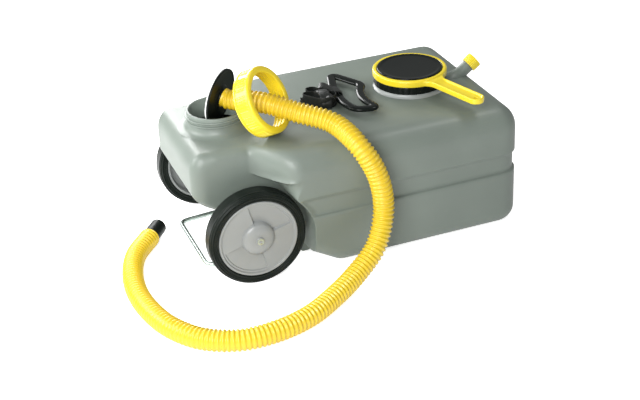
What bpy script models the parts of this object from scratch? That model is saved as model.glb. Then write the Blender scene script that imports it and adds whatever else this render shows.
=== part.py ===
"""Portable waste water tank: a flat moulded canister on two wheels, with a drain hose.

Metres, +Z up. The origin is the middle of the flat underside, on the ground. +X runs
along the tank towards the lid end, -X towards the wheels, and the near side is -Y.
"""
import math

import bmesh
import bpy
import numpy as np
from mathutils import Matrix, Vector

# Sizes of the moulded body
FOOT_HALF_LENGTH = 0.131      # half of the flat underside along X
END_X = 0.164                 # outer face of the lid end
NOSE_X = -0.3445              # outer face of the wheel end
HALF_WIDTH = 0.159            # wide part, which covers the wheels from behind
WHEEL_POCKET_DEPTH = 0.059    # from the wide part's side in to the waist
WAIST_HALF_WIDTH = HALF_WIDTH - WHEEL_POCKET_DEPTH   # narrow part, between the wheels
TOP_Z = 0.200
WALL = 0.003
PLAN_FILLET = 0.033
TOP_FILLET = 0.037
FOOT_FILLET = 0.028
NOSE_FILLET = 0.022           # upright corners of the wheel end, along X
NOSE_TOP_FILLET = 0.030
NOSE_TOP_LENGTH = 0.050       # over which that radius goes over into the waist's
WAIST_SIDE_FILLET = 0.026
WAIST_TOP_FILLET = 0.013
BAND_LOW_Z = 0.0945           # recessed band round the sides
BAND_HIGH_Z = 0.1265
BAND_DEPTH = 0.0035
BAND_SLOPE = 0.0025

# Wheels and axle
AXLE_X = -0.266
HUB_RADIUS = 0.0612
TYRE_THICKNESS = 0.0135
WHEEL_WIDTH = 0.030
WHEEL_SIDE_GAP = 0.020        # from the waist to the wheel's inner face
AXLE_RADIUS = 0.005
RUNNING_GAP = 0.0001          # radial, wheel on axle
SEAT_GAP = 0.0003             # between pieces that touch
WHEEL_RADIUS = HUB_RADIUS + SEAT_GAP + TYRE_THICKNESS
PANEL_INNER_RADIUS = 0.0250    # sunk sector panels of the hub's face
PANEL_OUTER_RADIUS = 0.0530
PANEL_DEPTH = 0.0020
PANEL_MIDDLE = math.radians(59)
PANEL_SPREAD = math.radians(44)
AXLE_TUNNEL_RADIUS = 0.0095
SPACER_RADIUS = 0.0105
WASHER_THICKNESS = 0.0012
WASHER_RADIUS = 0.0100
AXLE_CAP_RADIUS = 0.0068
AXLE_CAP_HEIGHT = 0.0045
ARCH_GAP = 0.0065             # from the tyre to the arch behind it
SHOULDER_X = 0.020            # where the top starts to widen, behind the axle
ARCH_BLEND = 0.010            # length of the widening low on the side
SHOULDER_BLEND = 0.048        # and at the top

# Round necks, caps and threads
NECK_X = -0.0068              # front neck, from the axle
LID_X = 0.0477
NECK_OUTER_RADIUS = 0.0445
NECK_BORE_RADIUS = 0.0404
NECK_HEIGHT = 0.0274          # front neck
LID_NECK_HEIGHT = 0.0254
THREAD_DEPTH = 0.0030
THREAD_PITCH = 0.0062
THREAD_TURNS = 2.2
COLLAR_RADIUS = 0.0540        # foot of the rear neck
COLLAR_HEIGHT = 0.0055
FRONT_COLLAR_RADIUS = 0.0500
FRONT_COLLAR_HEIGHT = 0.0035
LID_SEAL_THICKNESS = 0.0020
LID_DISC_RADIUS = 0.0515
LID_DISC_THICKNESS = 0.0030
LID_SKIRT_RADIUS = 0.0572
LID_SKIRT_WALL = 0.0090
LID_STEP_BELOW_TOP = 0.0120
SPANNER_RING_RADIUS = 0.0585
SPANNER_THICKNESS = 0.0105
SPANNER_HANDLE_THICKNESS = 0.0090
SPANNER_HANDLE_REACH = 0.149  # from the lid's axis to the centre of the handle's round end
SPANNER_HANDLE_WIDTH = 0.025
SPANNER_BLEND = 0.020
SPANNER_ANGLE = math.radians(-73.3)
SPANNER_CHANNEL_DEPTH = 0.0035
SPANNER_RIM = 0.0030
SPANNER_HOLE_RADIUS = 0.0025

# Vent spout, on the mid-plane behind the lid
VENT_X = 0.119
VENT_BELOW_TOP = 0.012
VENT_Z = TOP_Z - VENT_BELOW_TOP
VENT_TILT = math.radians(37)  # above the horizontal
SPOUT_LENGTH = 0.0515
SPOUT_RADIUS = 0.0100
SPOUT_END_RADIUS = 0.0092
SPOUT_BORE_RADIUS = 0.0065
VENT_CAP_RADIUS = 0.0128
VENT_CAP_WALL = 0.0030
VENT_CAP_TOP = 0.0020
VENT_CAP_SKIRT = 0.0115
VENT_SEAL_THICKNESS = 0.0010

# Steel bail under the wheel end
BAIL_ROD_RADIUS = 0.0035
BAIL_PIVOT_X = 0.090          # from the axle
BAIL_PIVOT_Z = 0.0125
BAIL_BAR_X = -0.062           # cross-bar, from the axle
BAIL_BAR_Z = 0.0045
BAIL_HALF_WIDTH = 0.0745
BAIL_BEND = 0.014
BAIL_END_LENGTH = 0.017       # bent end, in the body's lug
LUG_RADIUS = 0.0085

# Hose end flange, its gasket and the union ring
FLANGE_CENTRE = Vector((-0.2655, -0.0072, TOP_Z + 0.0467))
FLANGE_NORMAL = Vector((0.696, -0.691, -0.196)).normalized()
FLANGE_RADIUS = 0.0433
FLANGE_THICKNESS = 0.0030
SPIGOT_RADIUS = 0.0118
SPIGOT_LENGTH = 0.0040
GASKET_THICKNESS = 0.0018
GASKET_BORE_RADIUS = 0.0330
RING_CENTRE = Vector((-0.2191, -0.0653, TOP_Z + 0.0522))
RING_AXIS = Vector((0.631, -0.641, 0.437)).normalized()
RING_RADIUS = 0.0515
RING_LENGTH = 0.0285
RING_WALL = 0.0040
RING_LIP_RADIUS = 0.0412      # opening of the inward lip, on the side away from the flange
RING_LIP_THICKNESS = 0.0030

# Corrugated hose, and the cuff on its free end
HOSE_RADIUS = 0.0160
HOSE_POINT_SPACING = 0.055
HOSE_STRAIGHT = 0.011         # leaves the flange square to its face
HOSE_ROUTE = [
    (-0.2280, -0.0435, 0.2470), (-0.2060, -0.0660, 0.2445), (-0.1716, -0.0927, 0.2350),
    (-0.1310, -0.1250, 0.2230), (-0.1085, -0.1755, 0.1975), (-0.0895, -0.1870, 0.1535),
    (-0.0842, -0.1910, 0.1056), (-0.1004, -0.2060, 0.0614), (-0.1303, -0.2200, 0.0358),
    (-0.1725, -0.2440, 0.0205), (-0.2352, -0.2826, 0.0165), (-0.2866, -0.2996, 0.0164),
    (-0.3366, -0.3028, 0.0164), (-0.3839, -0.2850, 0.0164), (-0.4232, -0.2399, 0.0164),
    (-0.4461, -0.1643, 0.0164), (-0.4456, -0.0856, 0.0164), (-0.4214, -0.0126, 0.0164),
    (-0.3900, 0.0270, 0.0164),
]
CUFF_RADIUS = 0.0130
CUFF_BORE_RADIUS = 0.0102
CUFF_LENGTH = 0.036

# Pull strap, its anchor on the tank's top, and the grip
STRAP_CENTRE = (-0.1095, 0.0000)
STRAP_SIZE = (0.046, 0.054, 0.022)
STRAP_LOOP_WIDTH = 0.022
STRAP_LOOP_THICKNESS = 0.0016
STRAP_TONGUE = 0.030          # from the grip's bar into the bundle
ANCHOR_SIZE = (0.022, 0.040, 0.0026)
ANCHOR_SCREW_SPACING = 0.026
SCREW_SHANK_RADIUS = 0.0018
SCREW_HEAD_RADIUS = 0.0040
SCREW_HEAD_HEIGHT = 0.0016
SCREW_LENGTH = 0.011
SCREW_POST_RADIUS = 0.0055
GRIP_HALF_WIDTH = 0.0070            # the grip's rod is an oval, wider than it is high
GRIP_HALF_HEIGHT = 0.0036
GRIP_CENTRE = (-0.0780, -0.0066)   # middle of the long side, on its centreline
GRIP_ANGLE = math.radians(85.6)    # long side's direction in plan
GRIP_CORNERS = [(-0.0605, -0.0100), (-0.0310, 0.0), (0.0240, 0.0), (0.0800, -0.0130),
                (0.0245, -0.0470), (-0.0010, -0.0360), (-0.0290, -0.0320), (-0.0650, -0.0420)]
GRIP_CORNER_RADIUS = 0.0075

PAST = 0.020                  # how far a cutter runs past what it cuts
ROUND = 28                    # sides of a round piece
FINE_ROUND = 36


def clear_scene():
    for obj in list(bpy.data.objects):
        bpy.data.objects.remove(obj, do_unlink=True)


def material(name, colour, roughness, metallic=0.0):
    mat = bpy.data.materials.new(name)
    mat.use_nodes = True
    shader = mat.node_tree.nodes["Principled BSDF"]
    shader.inputs["Base Color"].default_value = (*colour, 1.0)
    shader.inputs["Roughness"].default_value = roughness
    shader.inputs["Metallic"].default_value = metallic
    return mat


# Building blocks

def add_object(name, bm, mat=None, matrix=None, smooth_angle=35):
    """Turn a bmesh into a named object with outward faces."""
    bmesh.ops.recalc_face_normals(bm, faces=bm.faces)
    mesh = bpy.data.meshes.new(name)
    bm.to_mesh(mesh)
    bm.free()
    mesh.shade_smooth()
    mesh.set_sharp_from_angle(angle=math.radians(smooth_angle))
    obj = bpy.data.objects.new(name, mesh)
    bpy.context.scene.collection.objects.link(obj)
    if matrix is not None:
        obj.matrix_world = matrix
    if mat is not None:
        mesh.materials.append(mat)
    return obj


def add_tool(name, bm, matrix=None):
    """A shape that only cuts or adds to another object."""
    tool = add_object(name, bm, matrix=matrix)
    tool.hide_render = True
    tool.display_type = 'WIRE'
    return tool


def combine(target, tools, operation):
    """Add or cut a group of tools in one step."""
    group = bpy.data.collections.new(f"{tools[0].name}_group")
    for tool in tools:
        group.objects.link(tool)
    modifier = target.modifiers.new(group.name, 'BOOLEAN')
    modifier.operation = operation
    modifier.operand_type = 'COLLECTION'
    modifier.collection = group
    modifier.solver = 'EXACT'


def turned(profile, steps=ROUND, phase=0.37):
    """Solid of revolution about Z of (radius, height) points, closed along the axis or as a ring.

    The phase, in steps, keeps its corners off the planes that other shapes have corners on.
    """
    bm = bmesh.new()
    start = math.tau * phase / steps
    verts = [bm.verts.new((radius * math.cos(start), radius * math.sin(start), height))
             for radius, height in profile]
    edges = [bm.edges.new(pair) for pair in zip(verts, verts[1:])]
    if profile[0][0] > 0 or profile[-1][0] > 0:
        edges.append(bm.edges.new((verts[-1], verts[0])))
    bmesh.ops.spin(bm, geom=verts + edges, cent=(0, 0, 0), axis=(0, 0, 1),
                   angle=math.tau, steps=steps, use_merge=True)
    bmesh.ops.remove_doubles(bm, verts=bm.verts, dist=1e-6)
    return bm


def cylinder(radius, low, high, steps=ROUND):
    return turned([(0, low), (radius, low), (radius, high), (0, high)], steps)


def ring(inner, outer, low, high, steps=ROUND):
    return turned([(inner, low), (outer, low), (outer, high), (inner, high)], steps)


def extruded(outline, low, high):
    """Prism over a plan outline."""
    bm = bmesh.new()
    face = bm.faces.new([bm.verts.new((x, y, low)) for x, y in outline])
    top = bmesh.ops.extrude_face_region(bm, geom=[face])
    moved = [item for item in top["geom"] if isinstance(item, bmesh.types.BMVert)]
    bmesh.ops.translate(bm, verts=moved, vec=(0, 0, high - low))
    return bm


def arc(centre, radius, start, end, count):
    """Points along an arc, both ends included."""
    angles = np.linspace(start, end, count)
    return [(centre[0] + radius * math.cos(a), centre[1] + radius * math.sin(a)) for a in angles]


def along(axis, origin):
    """Placement whose local Z runs along the axis."""
    return Matrix.Translation(origin) @ Vector(axis).to_track_quat('Z', 'Y').to_matrix().to_4x4()


def smoothstep(low, high, value):
    t = min(max((value - low) / (high - low), 0.0), 1.0)
    return t * t * (3 - 2 * t)


def rounded_path(corners, radius, count, closed):
    """Polyline through the corners, each turned by an arc of the given radius."""
    points = [Vector(corner) for corner in corners]
    path = []
    for index, corner in enumerate(points):
        is_end = index in (0, len(points) - 1)
        if is_end and not closed:
            path.append(corner)
            continue
        back = (points[index - 1] - corner).normalized()
        ahead = (points[(index + 1) % len(points)] - corner).normalized()
        half = back.angle(ahead) / 2
        centre = corner + (back + ahead).normalized() * (radius / math.sin(half))
        start = corner + back * (radius / math.tan(half)) - centre
        axis = start.cross(corner + ahead * (radius / math.tan(half)) - centre).normalized()
        for step in range(count + 1):
            turn = Matrix.Rotation((math.pi - 2 * half) * step / count, 3, axis)
            path.append(centre + turn @ start)
    return path


def smooth_path(route, spacing):
    """Evenly spaced points on a smooth curve through the route's points."""
    knots = [Vector(point) for point in route]
    knots = [2 * knots[0] - knots[1]] + knots + [2 * knots[-1] - knots[-2]]
    dense = []
    for p0, p1, p2, p3 in zip(knots, knots[1:], knots[2:], knots[3:]):
        for step in range(24):
            t = step / 24
            dense.append(0.5 * (2 * p1 + (p2 - p0) * t + (2 * p0 - 5 * p1 + 4 * p2 - p3) * t ** 2
                                + (3 * p1 - p0 - 3 * p2 + p3) * t ** 3))
    dense.append(knots[-2])
    dense = np.array(dense)
    length = np.r_[0, np.cumsum(np.linalg.norm(np.diff(dense, axis=0), axis=1))]
    places = np.linspace(0, length[-1], round(length[-1] / spacing) + 1)
    return [Vector([np.interp(s, length, dense[:, axis]) for axis in range(3)]) for s in places]


def tube(name, path, radius, mat, closed=False, resolution=3):
    """Round rod or hose along a polyline."""
    curve = bpy.data.curves.new(name, 'CURVE')
    curve.dimensions = '3D'
    curve.resolution_u = 1
    curve.render_resolution_u = 0
    curve.bevel_depth = radius
    curve.bevel_resolution = resolution
    curve.use_fill_caps = not closed
    spline = curve.splines.new('POLY')
    spline.points.add(len(path) - 1)
    for point, place in zip(spline.points, path):
        point.co = (*place, 1)
    spline.use_cyclic_u = closed
    curve.materials.append(mat)
    obj = bpy.data.objects.new(name, curve)
    bpy.context.scene.collection.objects.link(obj)
    return obj


# The moulded body

ARCH_RADIUS = WHEEL_RADIUS + ARCH_GAP
RAMP_END_X = -FOOT_HALF_LENGTH
RAMP_RISE = WHEEL_RADIUS + 0.002      # ramp's height over the axle
RAMP_BEND = 0.007
RAMP_SLOPE = RAMP_RISE / (RAMP_END_X - RAMP_BEND - AXLE_X)
ARCH_TO_Z = 0.105                     # the widening is shortest below this
SHOULDER_FROM_Z = 0.170               # and longest above this
SOFT_FROM_Z, SOFT_TO_Z = 0.140, 0.175 # heights where its sharp start turns soft
SHARPNESS = 2.2                       # power of the sharp start
FOOT_KEPT = 0.55                      # share of the foot's round edge left
FOOT_KEPT_RISE = 0.12                 # where the ramp is this high
LIFT_TOP_Z = 0.163                    # the ramp lifts the surface only below this


def ramp_height(x):
    """Height of the underside: flat foot, then a straight ramp up to the wheel end."""
    start = RAMP_END_X - RAMP_BEND
    if x > start + RAMP_BEND:
        return 0.0
    if x < start - RAMP_BEND:
        return RAMP_SLOPE * (start - x)
    return RAMP_SLOPE * (start + RAMP_BEND - x) ** 2 / (4 * RAMP_BEND)


def side_step(z, inset):
    """Start and length, along X, of the step from the waist to the wide part at a height."""
    reach = ARCH_RADIUS + inset
    above = max(z - WHEEL_RADIUS, 0.0)
    low = math.sqrt(max(reach ** 2 - above ** 2, 0.0))
    high = SHOULDER_X + inset
    start = 0.5 * (low + high + math.hypot(low - high, 0.010))
    length = ARCH_BLEND + (SHOULDER_BLEND - ARCH_BLEND) * smoothstep(ARCH_TO_Z, SHOULDER_FROM_Z, z)
    return AXLE_X + start, length


def fillet_stops(low, high, low_fillet, high_fillet, between):
    """Grid positions along one axis of a box whose edges get rounded."""
    half_way = math.tan(math.pi / 8)
    start = [low, low + low_fillet * (1 - half_way), low + low_fillet]
    end = [high - high_fillet, high - high_fillet * (1 - half_way), high]
    return start + list(between) + end


def body_shape(inset):
    """Closed surface of the body, set in from the outside by a distance."""
    fillet = PLAN_FILLET - inset
    nose_fillet = NOSE_FILLET - inset
    x_low, x_high = NOSE_X + inset, END_X - inset
    half = HALF_WIDTH - inset
    z_low, z_high = inset, TOP_Z - inset
    foot = FOOT_FILLET - inset
    step_low = AXLE_X + 0.035
    step_high = AXLE_X + 0.090
    columns = step_low + (step_high - step_low) * np.array([0, 0.07, 0.15, 0.25, 0.38, 0.53, 0.7, 0.85, 1])
    xs = fillet_stops(x_low, x_high, nose_fillet, fillet, [
        *np.linspace(x_low + nose_fillet, step_low, 6)[1:-1], *columns, step_high + 0.007,
        RAMP_END_X - 2 * RAMP_BEND, RAMP_END_X - RAMP_BEND, RAMP_END_X, 0.0])
    ys = fillet_stops(-half, half, fillet, fillet, [-half / 2, 0, half / 2])
    band = [BAND_LOW_Z, BAND_LOW_Z + BAND_SLOPE, BAND_HIGH_Z - BAND_SLOPE, BAND_HIGH_Z]
    zs = fillet_stops(z_low, z_high, foot, TOP_FILLET - inset, [0.060, *band, 0.145])

    def fillets(x):
        """Radii of the side and top edges: tight along the waist, wide before and behind."""
        grown = smoothstep(step_low - 0.012, step_high, x)
        side = WAIST_SIDE_FILLET + (PLAN_FILLET - WAIST_SIDE_FILLET) * grown
        top = NOSE_TOP_FILLET + (WAIST_TOP_FILLET - NOSE_TOP_FILLET) * smoothstep(
            x_low, x_low + NOSE_TOP_LENGTH, x)
        return side - inset, top + (TOP_FILLET - top) * grown - inset

    def rounded(q):
        """Point of the box pulled onto its rounded edges, with the direction it faces."""
        x, y, z = q
        side, top = fillets(x)
        # grid lines move with the radii, so that each fillet keeps its share of them
        edge_y, inner_y = half - fillet, half - side
        edge_z, inner_z = z_high - TOP_FILLET + inset, z_high - top
        y = math.copysign(float(np.interp(abs(y), [0, edge_y, half], [0, inner_y, half])), y)
        z = float(np.interp(z, [z_low, BAND_HIGH_Z, edge_z, z_high], [z_low, BAND_HIGH_Z, inner_z, z_high]))
        core = Vector((min(max(x, x_low + nose_fillet), x_high - fillet),
                       min(max(y, -inner_y), inner_y), min(max(z, z_low + foot), inner_z)))
        size = Vector((nose_fillet if x < core.x else fillet, side, top if z > core.z else foot))
        facing = Vector([(v - c) / s for v, c, s in zip((x, y, z), core, size)]).normalized()
        return core + facing * size, facing

    def ramp_and_step(x, z):
        """Lift the underside to its ramp, and move columns to the edge of the wide part."""
        old = [x_low + nose_fillet, step_low, step_high, x_high - fillet]
        moved_x, lifted_z = x, z
        for _ in range(4):
            start, length = side_step(lifted_z, inset)
            new = [x_low + nose_fillet, start, start + length, x_high - fillet]
            if old[0] < x < old[-1]:
                moved_x = float(np.interp(x, old, new))
            # the lift ends at the band behind the wheels, and higher up before them
            ceiling = LIFT_TOP_Z + (BAND_LOW_Z - 0.004 - LIFT_TOP_Z) * smoothstep(
                AXLE_X, AXLE_X + 0.085, moved_x)
            rise = ramp_height(moved_x)
            floor = rise + z_low * math.hypot(1, RAMP_SLOPE if rise else 0)
            kept = 1 - (1 - FOOT_KEPT) * min(rise / FOOT_KEPT_RISE, 1.0)
            lifted_z = float(np.interp(z, [z_low, z_low + foot, ceiling, z_high],
                                       [floor, floor + foot * kept, ceiling, z_high]))
        return moved_x, lifted_z

    def shaped(q):
        straight, facing = rounded(q)
        x, y, z = straight
        # recessed band round the sides and the lid end, behind the wheels
        in_band = min(smoothstep(BAND_LOW_Z, BAND_LOW_Z + BAND_SLOPE, q.z),
                      1 - smoothstep(BAND_HIGH_Z - BAND_SLOPE, BAND_HIGH_Z, q.z))
        in_band *= smoothstep(step_high, step_high + 0.007, q.x) * BAND_DEPTH
        x -= facing.x * in_band
        y -= facing.y * in_band
        t = min(max((x - step_low) / (step_high - step_low), 0.0), 1.0)
        x, z = ramp_and_step(x, z)
        softness = smoothstep(SOFT_FROM_Z, SOFT_TO_Z, z)
        widened = (1 - softness) * (1 - (1 - t) ** SHARPNESS) + softness * smoothstep(0, 1, t)
        y *= (half - (HALF_WIDTH - WAIST_HALF_WIDTH) * (1 - widened)) / half
        return Vector((x, y, z))

    bm = bmesh.new()
    grid = {}

    def vert(i, j, k):
        if (i, j, k) not in grid:
            grid[i, j, k] = bm.verts.new(shaped(Vector((xs[i], ys[j], zs[k]))))
        return grid[i, j, k]

    last = (len(xs) - 1, len(ys) - 1, len(zs) - 1)
    for axis in range(3):
        a, b = [other for other in range(3) if other != axis]
        for side in (0, last[axis]):
            for i in range(last[a]):
                for j in range(last[b]):
                    corners = []
                    for di, dj in ((0, 0), (1, 0), (1, 1), (0, 1)):
                        key = [0, 0, 0]
                        key[axis], key[a], key[b] = side, i + di, j + dj
                        corners.append(vert(*key))
                    bm.faces.new(corners)
    return bm


def helical_ridge(turns, steps_per_turn=19):
    """Thread ridge round a neck, its lower end at height 0."""
    root, crest = NECK_OUTER_RADIUS - 0.001, NECK_OUTER_RADIUS + THREAD_DEPTH
    base, tip = THREAD_PITCH * 0.27, THREAD_PITCH * 0.10
    section = [(root, -base), (crest, -tip), (crest, tip), (root, base)]
    bm = bmesh.new()
    loops = []
    count = round(turns * steps_per_turn)
    for step in range(count + 1):
        angle = math.tau * (step + 0.21) / steps_per_turn
        fade = min(1.0, 3.0 * min(step, count - step) / steps_per_turn + 0.15)
        loop = []
        for radius, rise in section:
            r = root + (radius - root) * fade
            height = rise + THREAD_PITCH * step / steps_per_turn
            loop.append(bm.verts.new((r * math.cos(angle), r * math.sin(angle), height)))
        loops.append(loop)
    for first, second in zip(loops, loops[1:]):
        for side in range(4):
            other = (side + 1) % 4
            bm.faces.new((first[side], first[other], second[other], second[side]))
    bm.faces.new(loops[0])
    bm.faces.new(reversed(loops[-1]))
    return bm


def neck_profile(collar_radius, collar_height, height):
    """Neck standing on the body's top, solid down to its axis; height 0 is the top."""
    return [(0, -WALL / 2), (collar_radius + 0.004, -WALL / 2), (collar_radius + 0.003, 0.0008),
            (collar_radius, 0.0018), (collar_radius - 0.0008, collar_height),
            (NECK_OUTER_RADIUS, collar_height + 0.0006), (NECK_OUTER_RADIUS, height - 0.001),
            (NECK_OUTER_RADIUS - 0.001, height), (0, height)]


def spout_place():
    direction = (math.cos(VENT_TILT), 0, math.sin(VENT_TILT))
    return along(direction, (VENT_X, 0, VENT_Z))


def spout_profile():
    step = SPOUT_LENGTH - VENT_CAP_SKIRT - 0.001
    root = SPOUT_RADIUS + 0.0040
    return [(0, -0.004), (root, -0.004), (root, 0.012), (SPOUT_RADIUS, 0.019), (SPOUT_RADIUS, step),
            (SPOUT_END_RADIUS, step), (SPOUT_END_RADIUS, SPOUT_LENGTH), (0, SPOUT_LENGTH)]


def make_body(mat):
    body = add_object("tank_body", body_shape(0.0), mat, smooth_angle=50)
    front = Matrix.Translation((AXLE_X + NECK_X, 0, TOP_Z))
    rear = Matrix.Translation((LID_X, 0, TOP_Z))
    thread_drop = 0.0030 + THREAD_PITCH * THREAD_TURNS
    front_thread = Matrix.Translation((0, 0, NECK_HEIGHT - thread_drop))
    lid_thread = Matrix.Translation((0, 0, LID_NECK_HEIGHT - thread_drop))
    spout = spout_place()

    outside = [
        add_tool("front_neck", turned(neck_profile(
            FRONT_COLLAR_RADIUS, FRONT_COLLAR_HEIGHT, NECK_HEIGHT)), front),
        add_tool("front_thread", helical_ridge(THREAD_TURNS), front @ front_thread),
        add_tool("lid_neck", turned(
            neck_profile(COLLAR_RADIUS, COLLAR_HEIGHT, LID_NECK_HEIGHT)), rear),
        add_tool("lid_thread", helical_ridge(THREAD_TURNS), rear @ lid_thread),
        add_tool("spout_wall", turned(spout_profile(), 24), spout),
    ]
    for side in (-1, 1):
        place = Matrix.Translation((AXLE_X + BAIL_PIVOT_X, side * lug_middle(), BAIL_PIVOT_Z))
        outside.append(add_tool(f"bail_lug_{side}", lug_shape(), place))
    combine(body, outside, 'UNION')
    combine(body, [add_tool("hollow", body_shape(WALL))], 'DIFFERENCE')

    half_tunnel = WAIST_HALF_WIDTH - 0.001
    across = along((0, 1, 0), (AXLE_X, 0, WHEEL_RADIUS))
    inside = [add_tool("axle_tunnel", cylinder(AXLE_TUNNEL_RADIUS, -half_tunnel, half_tunnel, 24),
                       across)]
    bores = [
        add_tool("axle_bore", cylinder(AXLE_RADIUS + SEAT_GAP, -HALF_WIDTH, HALF_WIDTH, 24), across),
        add_tool("front_bore", cylinder(NECK_BORE_RADIUS, -PAST, NECK_HEIGHT + PAST), front),
        add_tool("lid_bore", cylinder(NECK_BORE_RADIUS, -PAST, LID_NECK_HEIGHT + PAST), rear),
        add_tool("spout_bore", cylinder(SPOUT_BORE_RADIUS, -PAST, SPOUT_LENGTH + PAST, 24), spout),
    ]
    for index, place in enumerate(anchor_screw_places()):
        post = Matrix.Translation((*place, TOP_Z))
        inside.append(add_tool(f"screw_post_{index + 1}", cylinder(
            SCREW_POST_RADIUS, -WALL - SCREW_LENGTH - 0.002, -WALL / 2, 16), post))
        bores.append(add_tool(f"screw_hole_{index + 1}", cylinder(
            SCREW_SHANK_RADIUS + SEAT_GAP, -SCREW_LENGTH, PAST, 12), post))
    for side in (-1, 1):
        outward = along((0, side, 0), (AXLE_X + BAIL_PIVOT_X, 0, BAIL_PIVOT_Z))
        bores.append(add_tool(f"lug_bore_{side}", cylinder(
            BAIL_ROD_RADIUS + SEAT_GAP, BAIL_HALF_WIDTH,
            BAIL_HALF_WIDTH + BAIL_END_LENGTH + SEAT_GAP, 16), outward))
    combine(body, inside, 'UNION')
    combine(body, bores, 'DIFFERENCE')
    return body


def lug_inner():
    return BAIL_HALF_WIDTH + BAIL_ROD_RADIUS + SEAT_GAP


def lug_middle():
    return (lug_inner() + WAIST_HALF_WIDTH - 0.002) / 2


LUG_ROOT_FRONT = 0.030                 # tops of the lug's root, over the pivot
LUG_ROOT_BACK = 0.038


def lug_shape():
    """Bearing lug for one end of the bail: round below, its root in the ramp above."""
    half = lug_middle() - lug_inner()
    outline = arc((0, 0), LUG_RADIUS, math.pi, math.tau, 9) + [
        (LUG_RADIUS, LUG_ROOT_FRONT), (-LUG_RADIUS, LUG_ROOT_BACK)]
    bm = extruded(outline, -half, half)
    bmesh.ops.rotate(bm, verts=bm.verts, cent=(0, 0, 0), matrix=Matrix.Rotation(math.pi / 2, 3, 'X'))
    return bm


# Wheels, axle and bail

def make_wheel(side, mats):
    """One wheel; local Z points outward along the axle, 0 at the wheel's mid-plane."""
    name = "near" if side < 0 else "far"
    half = WHEEL_WIDTH / 2
    middle = WAIST_HALF_WIDTH + WHEEL_SIDE_GAP + half
    place = along((0, side, 0), (AXLE_X, side * middle, WHEEL_RADIUS))
    bore = AXLE_RADIUS + RUNNING_GAP
    web_front, web_back = half - 0.0035, half - 0.0075
    dome = half + 0.0050
    hub = add_object(f"wheel_hub_{name}", turned([
        (bore, -half), (0.0135, -half), (0.0145, web_back), (HUB_RADIUS - 0.0045, web_back),
        (HUB_RADIUS - 0.0035, -half + 0.002), (HUB_RADIUS, -half + 0.002),
        (HUB_RADIUS, half - 0.0020), (HUB_RADIUS - 0.0015, half - 0.0006),
        (HUB_RADIUS - 0.0045, half - 0.0010), (HUB_RADIUS - 0.0060, web_front),
        (0.0235, web_front), (0.0205, half + 0.0010), (0.0140, dome - 0.0010), (0.0085, dome),
        (bore, dome)], FINE_ROUND, 0), mats["hub"], place)
    panels = []
    spread = PANEL_SPREAD
    for index, middle_angle in enumerate((PANEL_MIDDLE, PANEL_MIDDLE + math.pi)):
        outline = arc((0, 0), PANEL_OUTER_RADIUS, middle_angle - spread, middle_angle + spread, 9)
        outline += arc((0, 0), PANEL_INNER_RADIUS, middle_angle + spread, middle_angle - spread, 5)
        panel = extruded(outline, web_front - PANEL_DEPTH, half + PAST)
        panels.append(add_tool(f"hub_panel_{name}_{index + 1}", panel, place))
    combine(hub, panels, 'DIFFERENCE')

    inner = HUB_RADIUS + SEAT_GAP
    tread = WHEEL_RADIUS
    add_object(f"tyre_{name}", turned([
        (inner, -half + 0.003), (inner + 0.0035, -half), (tread - 0.006, -half),
        (tread - 0.0020, -half + 0.0025), (tread, -half + 0.007), (tread, half - 0.007),
        (tread - 0.0020, half - 0.0025), (tread - 0.006, half), (inner + 0.0035, half),
        (inner, half - 0.003)], FINE_ROUND, 0), mats["rubber"], place)

    near_end = WAIST_HALF_WIDTH + SEAT_GAP - middle
    spacer_end = -half - WASHER_THICKNESS - 2 * SEAT_GAP
    slack = AXLE_RADIUS + SEAT_GAP
    add_object(f"axle_spacer_{name}", ring(slack, SPACER_RADIUS, near_end, spacer_end, 24),
               mats["dark"], place)
    add_object(f"wheel_washer_{name}", ring(slack, WASHER_RADIUS, spacer_end + SEAT_GAP,
                                            -half - SEAT_GAP, 24), mats["steel"], place)
    cap_low = dome + SEAT_GAP
    cap_high = cap_low + AXLE_CAP_HEIGHT
    add_object(f"axle_cap_{name}", turned([
        (0, cap_high - 0.0012), (slack, cap_high - 0.0012), (slack, cap_low),
        (AXLE_CAP_RADIUS, cap_low), (AXLE_CAP_RADIUS, cap_low + 0.0018),
        (AXLE_CAP_RADIUS * 0.72, cap_high - 0.0007), (AXLE_CAP_RADIUS * 0.35, cap_high),
        (0, cap_high)], 24), mats["hub"], place)
    return middle + cap_high - 0.0012 - SEAT_GAP


def make_axle(half_length, mat):
    across = along((0, 1, 0), (AXLE_X, 0, WHEEL_RADIUS))
    add_object("axle", cylinder(AXLE_RADIUS, -half_length, half_length), mat, across)


def make_bail(mat):
    """U-shaped rod: bent ends in the lugs, legs along X, cross-bar along Y."""
    end_y = BAIL_HALF_WIDTH + BAIL_END_LENGTH
    pivot_x, bar_x = AXLE_X + BAIL_PIVOT_X, AXLE_X + BAIL_BAR_X
    corners = [(pivot_x, end_y, BAIL_PIVOT_Z), (pivot_x, BAIL_HALF_WIDTH, BAIL_PIVOT_Z),
               (bar_x, BAIL_HALF_WIDTH, BAIL_BAR_Z), (bar_x, -BAIL_HALF_WIDTH, BAIL_BAR_Z),
               (pivot_x, -BAIL_HALF_WIDTH, BAIL_PIVOT_Z), (pivot_x, -end_y, BAIL_PIVOT_Z)]
    ends = rounded_path(corners[:3], BAIL_ROD_RADIUS + 0.0005, 4, False)[:-1]
    bar = rounded_path(corners[1:5], BAIL_BEND, 6, False)[1:-1]
    mirrored = [Vector((p.x, -p.y, p.z)) for p in reversed(ends)]
    tube("bail", ends + bar + mirrored, BAIL_ROD_RADIUS, mat, resolution=2)


# Lid, spanner and vent cap

def lid_levels():
    """Heights of the lid's seal and cap over the neck's rim."""
    rim = TOP_Z + LID_NECK_HEIGHT
    seal_low = rim + SEAT_GAP
    seal_high = seal_low + LID_SEAL_THICKNESS
    disc_low = seal_high + SEAT_GAP
    return seal_low, seal_high, disc_low, disc_low + LID_DISC_THICKNESS


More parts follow.
